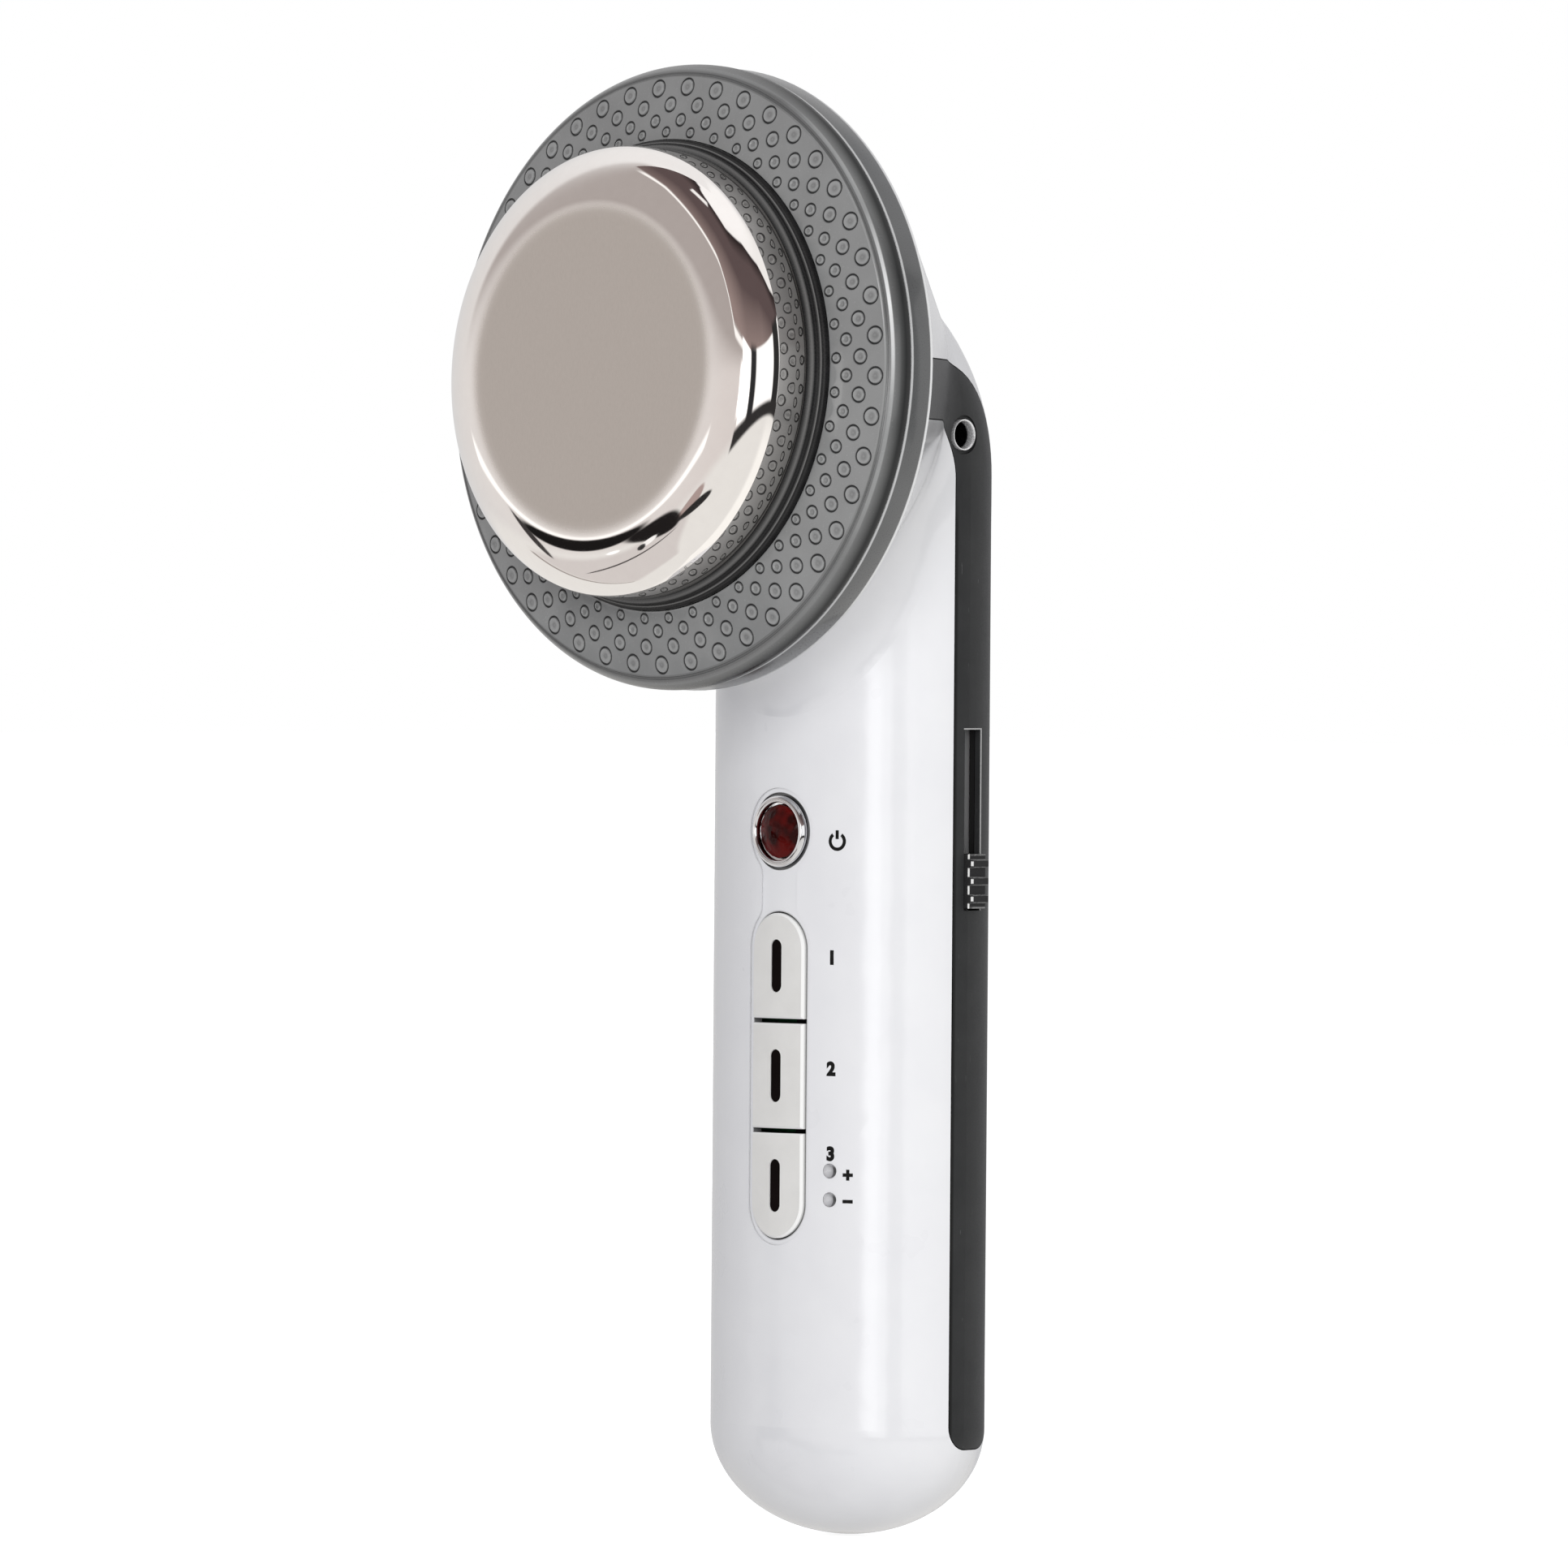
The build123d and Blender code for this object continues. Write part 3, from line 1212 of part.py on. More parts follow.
def build_nodes():
    """Every node by name, each as a part or a list of solids."""
    front_shell, rear_shell = casing()
    band_right, band_left = side_bands()
    proud = body(-BUTTON_PROUD)
    sunk = body(WINDOW_SUNK - BUTTON_PROUD)
    nodes = {
        "front_shell": front_shell,
        "rear_shell": rear_shell,
        "side_band_right": band_right,
        "side_band_left": band_left,
        "head_bezel": head_bezel(),
        "infrared_lens": infrared_lens(),
        "head_seal": head_seal(),
        "contact_head": contact_head(),
        "transducer_disc": transducer(),
        "damping_pad": damping_pad(),
        "head_clamp": head_clamp(),
        "head_clamp_screws": clamp_screw_group(),
        "infrared_board": infrared_board(),
        "infrared_lamps": infrared_lamps(),
        "power_lamp_ring": power_lamp_ring(),
        "power_lamp_lens": power_lamp_lens(),
        "power_lamp_led": power_lamp_led(),
        "button_switches": button_switches(),
        "indicator_leds": indicator_leds(),
        "level_light_guides": level_guides(),
        "slider_knob": slider_knob(),
        "slider_shield": slider_shield(),
        "slider_lever": slider_lever(),
        "slide_fader": slide_fader(),
        "socket_sleeve": socket_sleeve(),
        "socket_housing": socket_housing(),
        "socket_contacts": socket_contacts(),
        "main_board": main_board(),
        "board_screws": board_screw_group(),
        "case_screws": case_screw_group(),
        "transformer_core": transformer_core(),
        "transformer_coil": transformer_coil(),
        "smoothing_capacitors": smoothing_capacitors(),
        "power_inductor": power_inductor(),
        "driver_chips": driver_chips(),
        "heat_sink": heat_sink(),
        "quartz_crystal": quartz_crystal(),
        "board_connectors": board_connectors(),
        "transducer_leads": transducer_leads(),
        "electrode_lead": electrode_lead(),
        "lamp_ring_leads": lamp_ring_leads(),
        "socket_leads": socket_leads(),
    }
    for index, name in enumerate(BUTTON_NAMES):
        nodes[f"button_{name}"] = button_cap(index, proud)
        nodes[f"button_window_{name}"] = button_window(index, sunk)
        nodes[f"switch_plunger_{name}"] = switch_plunger(index)
    return nodes


def as_compound(piece):
    """A node's solids as one compound, ready to write."""
    pieces = piece if isinstance(piece, list) else [piece]
    return Compound([solid for part in pieces for solid in part.solids()])


def centring_shift(nodes):
    """The move that puts the origin under the middle of the whole object."""
    boxes = [node.bounding_box() for node in nodes.values()]
    low = [min(getattr(box.min, axis) for box in boxes) for axis in "XYZ"]
    high = [max(getattr(box.max, axis) for box in boxes) for axis in "XYZ"]
    print("overall size", [round(top - bottom, 3) for bottom, top in zip(low, high)])
    return Pos(-(low[0] + high[0]) / 2, -(low[1] + high[1]) / 2, -low[2])


def main():
    """Build every node, move the whole to its origin and write it."""
    nodes = {name: as_compound(piece) for name, piece in build_nodes().items()}
    shift = centring_shift(nodes)
    os.makedirs("parts", exist_ok=True)
    for name, node in nodes.items():
        export_step(shift * node, f"parts/{name}.step")
    face = shift * Pos(*head_point(0, 0, CUP_FRONT))
    socket = shift * Pos(SOCKET_FRONT, SOCKET_Y, SOCKET_HEIGHT)
    print("contact face", face.position, "normal", HEAD.z_dir)
    print("socket mouth", socket.position)


main()
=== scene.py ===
"""Looks of the hand-held facial toning device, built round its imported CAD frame.

Lengths are in millimetres of the frame, and become metres where a point is placed. The
treatment head has its own axes: x to the right, up, and forward.
"""

import json
from math import cos, pi, radians, sin, sqrt

import bmesh
import bpy
from mathutils import Matrix, Vector
from mathutils.geometry import delaunay_2d_cdt


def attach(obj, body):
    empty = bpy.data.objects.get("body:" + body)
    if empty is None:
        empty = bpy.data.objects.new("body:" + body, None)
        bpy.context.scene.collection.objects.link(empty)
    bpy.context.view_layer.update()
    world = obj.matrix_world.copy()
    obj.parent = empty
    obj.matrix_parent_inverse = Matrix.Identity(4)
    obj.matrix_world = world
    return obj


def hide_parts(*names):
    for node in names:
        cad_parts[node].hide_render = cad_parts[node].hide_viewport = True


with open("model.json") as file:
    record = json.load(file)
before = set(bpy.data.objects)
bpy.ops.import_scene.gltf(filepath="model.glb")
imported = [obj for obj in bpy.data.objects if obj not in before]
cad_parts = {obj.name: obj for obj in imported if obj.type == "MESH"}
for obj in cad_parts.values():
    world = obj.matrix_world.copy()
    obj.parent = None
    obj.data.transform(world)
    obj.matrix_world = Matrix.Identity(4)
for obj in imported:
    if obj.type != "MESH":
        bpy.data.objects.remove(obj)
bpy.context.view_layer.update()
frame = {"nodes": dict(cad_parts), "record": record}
nodes = frame["nodes"]
materials = {}

MM = 0.001

# The handle's axis and oval section, and the head's axes
HANDLE_Y = 18.97
HALF_WIDTH = 22.2
HALF_DEPTH = 14.2
TILT = radians(3.0)
HEAD_FRONT = Vector((0, -cos(TILT), sin(TILT)))
HEAD_UP = Vector((0, sin(TILT), cos(TILT)))
HEAD_ORIGIN = Vector((0, -9.3305, 157.396))

# The cup's flat face, and the middle of its round shoulder
CUP_FACE = 22.7
CUP_SHOULDER = 17.4
CUP_STEPS = 360

# The lens ring and the collar inside it
LENS_INNER = 31.9
LENS_INNER_FRONT = 9.4
LENS_FLAT = 40.7
LENS_FLAT_FRONT = 7.7
LENS_SLOPE = (LENS_INNER_FRONT - LENS_FLAT_FRONT) / (LENS_FLAT - LENS_INNER)
LENS_EASE_INNER = 0.3
LENS_EASE_OUTER = 0.16
RING_STEPS = 288
DOT_ROWS = [(39.15, 1.3), (36.75, 1.14), (34.6, 0.98), (32.95, 0.82)]
DOTS_IN_ROW = 45
DOT_STEPS = 24
DOT_EASE = 0.12
DOT_BOX = 1.6

# The lamp, the buttons' opening, the level lights, the slider's slot and knob, and the socket
LAMP_Z = 96.096
LAMP_HOLE = 4.95
LAMP_FACETS = 16
PILL_MIDDLE = 62.85
PILL_HALF = 4.8
PILL_STRAIGHT = 17.35
BUTTON_EDGES = (55.37, 70.32)
LEVEL_X = 9.0
LEVEL_FRONT = 6.15
LEVEL_ZS = (50.1, 46.2)
KNOB_Z = 89.6
RIB_PITCH = 2.4
SLOT_Y = 19.97
SLOT_HALF_WIDTH = 1.8
SLOT_LOW = 85.6
SLOT_HIGH = 110.2
SOCKET_PLACE = (0, 17.5695, 150.196)
SMALL_RING_STEPS = 96

# How far the print's top and underside lie from the skin
INK_LIFTS = (0.022, -0.03)

# The camera, with its distance and the width of its view in metres
CAMERA_TURN, CAMERA_LIFT, CAMERA_ROLL = radians(44.5), radians(0.8), radians(0.43)
CAMERA_DISTANCE = 2.5
VIEW_WIDTH = 0.2142
SENSOR = 36
AIM_HEIGHT = 102.4
AIM_SHIFT = 9.26


# -------- meshes


def head_place(x, up, forward):
    """A point in the frame from the head's axes."""
    return (HEAD_ORIGIN + Vector((x, 0, 0)) + HEAD_UP * up + HEAD_FRONT * forward) * MM


def axis_frame(origin, direction):
    """A place function for pieces turned about any axis: x and up across it, forward along it."""
    forward_dir = Vector(direction).normalized()
    side = Vector((0, 0, 1)).cross(forward_dir).normalized()
    up_dir = forward_dir.cross(side)
    start = Vector(origin)
    return lambda x, up, forward: (start + side * x + up_dir * up + forward_dir * forward) * MM


def dress(piece, material):
    """Give a piece one material."""
    piece.data.materials.clear()
    piece.data.materials.append(material)


def new_piece(name, mesh, finish, replaces=None):
    """A piece on the fixed body with one finish, which may stand for a CAD node that it hides."""
    piece = bpy.data.objects.new(name, mesh)
    bpy.context.scene.collection.objects.link(piece)
    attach(piece, "root")
    if replaces:
        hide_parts(replaces)
    dress(piece, materials[finish])


def finish_mesh(bm, name, sharp_angle=32):
    """Turn an edited mesh into mesh data with smooth faces and sharp creases."""
    bmesh.ops.remove_doubles(bm, verts=bm.verts, dist=1e-7)
    bmesh.ops.recalc_face_normals(bm, faces=bm.faces)
    mesh = bpy.data.meshes.new(name)
    bm.to_mesh(mesh)
    bm.free()
    mesh.shade_smooth()
    mesh.set_sharp_from_angle(angle=radians(sharp_angle))
    return mesh


def circle(x, up, radius, steps, start=0.0):
    """Points round a circle, from a start in steps."""
    turns = [2 * pi * (step + start) / steps for step in range(steps)]
    return [(x + radius * cos(turn), up + radius * sin(turn)) for turn in turns]


def join_rings(bm, first, second):
    """Faces between two rings of vertices, either of which may be a single point."""
    if len(first) == 1 and len(second) == 1:
        return
    steps = max(len(first), len(second))
    for step in range(steps):
        after = (step + 1) % steps
        corners = [first[step % len(first)], first[after % len(first)]]
        corners += [second[after % len(second)], second[step % len(second)]]
        bm.faces.new(list(dict.fromkeys(corners)))


def turn_profile(bm, rows, place, steps, closed=True, layer=None):
    """Turn rows of (radius, forward), with or without a value for the layer, about an axis."""
    rings = []
    for radius, forward, *value in rows:
        outline = circle(0, 0, radius, steps) if radius else [(0, 0)]
        ring = [bm.verts.new(place(x, up, forward)) for x, up in outline]
        if value:
            for vertex in ring:
                vertex[layer] = value[0]
        rings.append(ring)
    pairs = list(zip(rings, rings[1:]))
    if closed:
        pairs.append((rings[-1], rings[0]))
    for first, second in pairs:
        join_rings(bm, first, second)
    return rings


def turned_piece(
    name, rows, place, steps, finish, replaces, value=None, sharp_angle=32, closed=True
):
    """A turned piece that stands for a CAD node; value names what its rows' third numbers are."""
    bm = bmesh.new()
    layer = bm.verts.layers.float.new(value) if value else None
    turn_profile(bm, rows, place, steps, closed, layer)
    new_piece(name, finish_mesh(bm, name, sharp_angle), finish, replaces)


def ease_edges(piece, width):
    """Round off the sharp edges of a piece, without changing its own mesh."""
    weld = piece.modifiers.new("weld", "WELD")
    weld.merge_threshold = 2e-6
    bevel = piece.modifiers.new("eased_edges", "BEVEL")
    bevel.width = width * MM
    bevel.segments = 3
    bevel.limit_method = "ANGLE"
    bevel.angle_limit = radians(38)
    bevel.use_clamp_overlap = False
    bevel.miter_outer = "MITER_ARC"


# -------- treatment head


def cup_rows():
    """Outside and inside of the metal cup, from the middle of its face and back.

    The third number is 1 on the matte face, 0 on the polished shoulder and -1 low on the wall, where it
    paints shade.
    """
    points = [(radius, CUP_FACE) for radius in (0, 6, 13, 19, 20.5, 21.2, 21.6)]
    for step in range(49):
        angle = radians(90) * step / 48
        points.append((22 + 8.5 * sin(angle), CUP_SHOULDER + 5.3 * cos(angle)))
    points += [(30.5, 16), (30.5, 14.5), (30.5, 12.5), (30.42, 12.28), (30.25, 12.2), (29.4, 12.2)]
    points += [(29.4, 1.6), (28.2, 1.6), (28.2, 13.4), (29.3, 13.4), (29.3, CUP_SHOULDER)]
    for step in range(13):
        angle = radians(90) * (1 - step / 12)
        points.append((21.4 + 7.9 * sin(angle), CUP_SHOULDER + 4.1 * cos(angle)))
    points.append((0, 21.5))
    rows = []
    for radius, forward in points:
        fade = min(1.0, max(0.0, (23.4 - radius) / 2.6))
        share = fade * fade * (3 - 2 * fade) if forward > 22 else 0.0
        # Painted shade: below the shoulder the share falls towards -1, which darkens the wall
        if forward < CUP_SHOULDER:
            share = max(-1.0, (forward - CUP_SHOULDER) / 4)
        rows.append((radius, forward, share))
    return rows


def lens_front(radius):
    """How far forward the lens ring's sloping face is at a radius."""
    return LENS_INNER_FRONT - (radius - LENS_INNER) * LENS_SLOPE


def dot_places():
    """Centres and radii of the small embossed rings, in staggered rows."""
    places = []
    for row, (row_radius, size) in enumerate(DOT_ROWS):
        centres = circle(0, 0, row_radius, DOTS_IN_ROW, 0.5 * (row % 2))
        places += [(x, up, size) for x, up in centres]
    return places


def near(dots, point):
    """The dots whose square box holds a point."""
    return [d for d in dots if abs(d[0] - point.x) < DOT_BOX and abs(d[1] - point.y) < DOT_BOX]


def lens_face(bm, groove):
    """The lens ring's face: a sloping ring with every dot modelled, between two round edges."""
    inner, outer = LENS_INNER + LENS_EASE_INNER, LENS_FLAT - LENS_EASE_OUTER
    dots = dot_places()
    loops = [circle(0, 0, inner, RING_STEPS), circle(0, 0, outer, RING_STEPS)]
    loops += [circle(x, up, size + DOT_EASE, DOT_STEPS) for x, up, size in dots]
    points = []
    edges = []
    for loop in loops:
        start = len(points)
        points += [Vector(point) for point in loop]
        edges += [(start + step, start + (step + 1) % len(loop)) for step in range(len(loop))]
    flat_points, _, faces = delaunay_2d_cdt(points, edges, [], 0, 1e-6)[:3]
    vertices = [bm.verts.new(head_place(p.x, p.y, lens_front(p.length))) for p in flat_points]
    for face in faces:
        middle = (flat_points[face[0]] + flat_points[face[1]] + flat_points[face[2]]) / 3
        if not inner - 0.01 < middle.length < outer + 0.01:
            continue
        if any((middle - Vector((x, up))).length < size + 0.1 for x, up, size in near(dots, middle)):
            continue
        bm.faces.new([vertices[index] for index in face])
    for x, up, size in dots:
        dot(bm, groove, x, up, size)


def dot(bm, groove, x, up, size):
    """One embossed ring: a fine groove with eased edges round a low button."""
    # Radius, lift and painted tone: shade in the groove, light on the button's top
    rows = [(size + DOT_EASE, 0.0, 0.0), (size, 0.0, 0.2), (size - 0.07, -0.12, 1.0)]
    rows += [(size - 0.19, -0.15, 1.0), (size - 0.28, -0.02, 0.4), (size - 0.36, 0.10, -0.5)]
    rows += [(size - 0.48, 0.11, -0.5), (size * 0.35, 0.0, 0.05), (size * 0.2, -0.03, 0.25)]
    rings = []
    for radius, lift, depth in rows:
        ring = []
        for px, py in circle(x, up, radius, DOT_STEPS):
            vertex = bm.verts.new(head_place(px, py, lens_front(Vector((px, py)).length) + lift))
            vertex[groove] = depth
            ring.append(vertex)
        rings.append(ring)
    rings.append([bm.verts.new(head_place(x, up, lens_front(Vector((x, up)).length) + 0.01))])
    for first, second in zip(rings, rings[1:]):
        join_rings(bm, first, second)


def build_lens():
    """The smoked lens ring with its embossed dots, edge line and rounded rim."""
    bm = bmesh.new()
    groove = bm.verts.layers.float.new("groove")
    lens_face(bm, groove)
    flat, inner = LENS_FLAT, LENS_INNER + LENS_EASE_INNER
    edge = lens_front(flat)
    # Radius, height and painted shade: a bead painted light round the face, a groove painted dark, a polished
    # bead with a painted highlight and the side painted dark
    rows = [
        (flat - LENS_EASE_OUTER, lens_front(flat - LENS_EASE_OUTER), 0.0),
        (flat - 0.08, edge + 0.02, -0.8),
        (flat + 0.06, edge - 0.01, -0.6),
        (flat + 0.16, edge - 0.22, 0.6),
        (flat + 0.30, edge - 0.3, 0.5),
    ]
    for step in range(1, 21):
        angle = radians(12 + 78 * step / 20)
        shade = 0.5 if step < 4 else (-0.99 if step < 8 else min(1.0, 0.5 + (step - 8) * 0.05))
        rows.append((flat + 0.04 + 1.645 * sin(angle), 5.0 + 2.62 * cos(angle), shade))
    rows += [(42.38, 4.55, 1.0), (42.3, 4.42, 1.0), (42.1, 4.4, 1.0), (40.4, 4.4, 1.0), (40.4, 5.7, 0.3)]
    rows += [(32.9, 7.4, 0.3), (32.9, 1.6, 0.3), (31.9, 1.6, 0.3), (31.9, 9.2, 0.2), (31.98, 9.34, 0.0)]
    rows.append((inner, lens_front(inner), 0.0))
    rings = turn_profile(bm, rows, head_place, RING_STEPS, closed=False, layer=groove)
    # The polished beads carry a painted highlight only at the right, where the light falls on them
    for ring, (_, _, shade) in zip(rings, rows):
        if shade >= -0.5:
            continue
        for step, vertex in enumerate(ring):
            turn = (360 * step / RING_STEPS + 180) % 360 - 180
            lit = max(0.0, 1 - abs(turn - 14) / 50)
            vertex[groove] = shade * lit + 0.35 * (1 - lit)
    mesh = finish_mesh(bm, "infrared_lens_ring", 34)
    new_piece("infrared_lens_ring", mesh, "smoked_lens", replaces="infrared_lens")


# The dark collar between cup and lens: fine moulded steps, with painted highlights on their edges
COLLAR_ROWS = [(31.9, 2.6, 0.0), (31.9, 9.75, 0.0), (31.84, 9.93, 0.0), (31.66, 10.0, 0.05)]
COLLAR_ROWS += [(31.6, 10.06, 0.1), (31.56, 10.3, 0.0), (31.5, 10.38, 0.1), (31.4, 10.42, 0.75)]
COLLAR_ROWS += [(31.34, 10.5, 0.3), (31.3, 10.78, 0.0), (31.2, 10.84, 0.0), (31.12, 10.9, 0.05)]
COLLAR_ROWS += [(31.05, 11.25, 0.0), (30.98, 11.42, 0.3), (30.84, 11.54, 0.55), (30.62, 11.64, 0.35)]
COLLAR_ROWS += [(30.46, 11.84, 0.1), (30.4, 12.2, 0.0), (29.4, 12.2, 0.0), (29.4, 2.6, 0.0)]


def build_head():
    """The polished cup, the lens ring, the collar and the bezel's eased edges."""
    turned_piece(
        "contact_head_turned",
        cup_rows(),
        head_place,
        CUP_STEPS,
        "polished_metal",
        "contact_head",
        value="matte",
        sharp_angle=40,
        closed=False,
    )
    build_lens()
    turned_piece("head_collar", COLLAR_ROWS, head_place, RING_STEPS, "dark_collar", "head_seal", value="step_highlight")
    ease_edges(nodes["head_bezel"], 0.16)


# -------- small pieces


def build_lamp():
    """The rounded bright ring and the faceted red lens of the power lamp."""
    place = axis_frame((0, HANDLE_Y - HALF_DEPTH, LAMP_Z), (0, -1, 0))
    rows = [(3.7, -2.0), (3.7, -0.55), (3.95, -0.5), (3.97, 0.1), (4.03, 0.28), (4.16, 0.4), (4.34, 0.44)]
    rows += [(4.54, 0.4), (4.74, 0.27), (4.87, 0.08), (4.94, -0.15), (LAMP_HOLE, -0.9)]
    rows += [(4.35, -0.9), (4.35, -2.0)]
    turned_piece("power_lamp_bright_ring", rows, place, SMALL_RING_STEPS, "bright_ring", "power_lamp_ring")
    bm = bmesh.new()
    rings = []
    for row in range(8):
        radius = 3.64 * (1 - (row / 7.5) ** 1.12)
        forward = 0.7 - 0.9 * (radius / 3.65) ** 2
        outline = circle(0, 0, radius, LAMP_FACETS, 0.5 * (row % 2))
        rings.append([bm.verts.new(place(x, up, forward)) for x, up in outline])
    tip = [bm.verts.new(place(0, 0, 0.72))]
    for row, (first, second) in enumerate(zip(rings, rings[1:])):
        for step in range(LAMP_FACETS):
            after = (step + 1) % LAMP_FACETS
            near_end, far_end = (after, step) if row % 2 == 0 else (step, after)
            middle = second[far_end]
            bm.faces.new([first[step], first[after], middle])
            bm.faces.new([middle, first[near_end], second[near_end]])
    join_rings(bm, rings[-1], tip)
    back = [(3.65, -0.25), (3.65, -2.3), (4.3, -2.35), (4.3, -3.1), (2.6, -3.1), (2.6, -1.4), (0, -1.4)]
    wall = turn_profile(bm, back, place, LAMP_FACETS, closed=False)
    join_rings(bm, rings[0], wall[0])
    mesh = finish_mesh(bm, "power_lamp_faceted_lens")
    mesh.shade_flat()
    new_piece("power_lamp_faceted_lens", mesh, "red_lens", replaces="power_lamp_lens")


def build_level_lights():
    """The two level lights, whose ends are small frosted bowls; a value paints shade on their far side and
    light on their near side.
    """
    bm = bmesh.new()
    shade = bm.verts.layers.float.new("shade")
    rows = [(0, -0.52)]
    for step in range(1, 9):
        angle = radians(11 * step)
        rows.append((0.94 * sin(angle), 0.42 - 0.94 * cos(angle)))
    rows += [(0.97, 0.0), (1.0, -0.06), (1.0, -1.2), (0, -1.2)]
    for height in LEVEL_ZS:
        place = axis_frame((LEVEL_X, LEVEL_FRONT, height), (0, -1, 0))
        for ring in turn_profile(bm, rows, place, 48, closed=False):
            for vertex in ring:
                vertex[shade] = (vertex.co.x / MM - LEVEL_X + 0.2 * (height - vertex.co.z / MM)) / 0.9
    mesh = finish_mesh(bm, "level_light_bowls", 60)
    new_piece("level_light_bowls", mesh, "clear_plastic", replaces="level_light_guides")


def build_socket():
    """The socket's bright sleeve with a rounded lip."""
    rows = [(1.8, 8.3), (1.8, 20.95), (1.8, 21.25), (1.8, 21.7), (1.82, 21.9), (1.86, 22.06), (1.91, 22.19)]
    rows += [(1.97, 22.27), (2.03, 22.3), (2.09, 22.27), (2.13, 22.18), (2.15, 22.05), (2.15, 8.3)]
    turned_piece(
        "socket_bright_sleeve",
        rows,
        axis_frame(SOCKET_PLACE, (1, 0, 0)),
        SMALL_RING_STEPS,
        "plated_sleeve",
        "socket_sleeve",
    )


# -------- printed marks


def skin_place(x, z, lift):
    """A point on the front of the oval handle, lifted off the skin."""
    root = sqrt(1 - (x / HALF_WIDTH) ** 2)
    normal = Vector((x / HALF_WIDTH**2, -root / HALF_DEPTH, 0)).normalized()
    return (Vector((x, HANDLE_Y - HALF_DEPTH * root, z)) + normal * lift) * MM


def mark_piece(name, strokes, x, z):
    """Flat closed outlines laid on the skin at x and z, as one thin printed piece."""
    steepness = HALF_DEPTH * x / (HALF_WIDTH**2 * sqrt(1 - (x / HALF_WIDTH) ** 2))
    foreshortening = 1 / sqrt(1 + steepness**2)
    bm = bmesh.new()
    for points, faces in strokes:
        top, bottom = (
            [bm.verts.new(skin_place(x + px * foreshortening, z + pz, lift)) for px, pz in points]
            for lift in INK_LIFTS
        )
        border = {}
        for face in faces:
            bm.faces.new([top[index] for index in face])
            bm.faces.new([bottom[index] for index in reversed(face)])
            for first, second in zip(face, face[1:] + face[:1]):
                key = (min(first, second), max(first, second))
                border[key] = border.get(key, 0) + 1
        for (first, second), count in border.items():
            if count == 1:
                bm.faces.new([top[first], top[second], bottom[second], bottom[first]])
    new_piece(name, finish_mesh(bm, name), "printed_ink")


def glyph(text, height):
    """The filled outline of a short text, centred upright."""
    curve = bpy.data.curves.new("glyph", "FONT")
    curve.body = text
    curve.align_x = "CENTER"
    curve.align_y = "CENTER"
    curve.size = height * 1.42
    curve.offset = 0.15
    curve.resolution_u = 6
    holder = bpy.data.objects.new("glyph", curve)
    bpy.context.scene.collection.objects.link(holder)
    bpy.context.view_layer.update()
    mesh = bpy.data.meshes.new_from_object(holder.evaluated_get(bpy.context.evaluated_depsgraph_get()))
    bm = bmesh.new()
    bm.from_mesh(mesh)
    bmesh.ops.remove_doubles(bm, verts=bm.verts, dist=1e-4)
    bmesh.ops.triangulate(bm, faces=bm.faces)
    bm.verts.index_update()
    points = [(v.co.x, v.co.y) for v in bm.verts]
    faces = [[v.index for v in face.verts] for face in bm.faces]
    bm.free()
    bpy.data.objects.remove(holder)
    bpy.data.curves.remove(curve)
    bpy.data.meshes.remove(mesh)
    across, upward = zip(*points)
    middle_x, middle_z = (min(across) + max(across)) / 2, (min(upward) + max(upward)) / 2
    return [(px - middle_x, pz - middle_z) for px, pz in points], faces


def arc_stroke(radius, width, start, end, steps):
    """A curved stroke about the origin, from one angle to another, in degrees."""
    points = []
    for step in range(steps + 1):
        angle = radians(start + (end - start) * step / steps)
        for reach in (radius - width / 2, radius + width / 2):
            points.append((reach * cos(angle), reach * sin(angle)))
    faces = [[2 * step, 2 * step + 1, 2 * step + 3, 2 * step + 2] for step in range(steps)]
    return points, faces


def bar(x, z, width, height):
    """A straight stroke about a point."""
    corners = ((-1, -1), (1, -1), (1, 1), (-1, 1))
    return [(x + side * width / 2, z + end * height / 2) for side, end in corners], [[0, 1, 2, 3]]


def build_marks():
    """A power sign, the numbers 1 to 3, and plus and minus, where the object has its print."""
    power = [arc_stroke(1.08, 0.46, 126, 414, 26), bar(0, 0.9, 0.46, 1.2)]
    mark_piece("mark_power", power, 9.75, LAMP_Z - 1.2)
    for number, height in enumerate((79.1, 64.0, 52.45), start=1):
        mark_piece(f"mark_{number}", [glyph(str(number), 1.75)], 9.1, height)
    plus = [bar(0, 0, 1.5, 0.48), bar(0, 0.49, 0.48, 0.5), bar(0, -0.49, 0.48, 0.5)]
    mark_piece("mark_plus", plus, 11.6, 49.6)
    mark_piece("mark_minus", [bar(0, 0, 1.5, 0.48)], 11.6, 46.0)


# -------- node trees


class Signal:
    """A socket of a node tree that takes part in sums."""

    def __init__(self, tree, socket):
        self.tree, self.socket = tree, socket

    def math(self, operation, other=None):
        return self.tree.math(operation, self, other)

    def __add__(self, other):
        return self.math("ADD", other)

    def __sub__(self, other):
        return self.math("SUBTRACT", other)

    def __rsub__(self, other):
        return self.tree.math("SUBTRACT", other, self)

    def __mul__(self, other):
        return self.math("MULTIPLY", other)

    def __truediv__(self, other):
        return self.math("DIVIDE", other)

    def __gt__(self, other):
        return self.math("GREATER_THAN", other)

    def __lt__(self, other):
        return self.math("LESS_THAN", other)

    def __abs__(self):
        return self.math("ABSOLUTE")


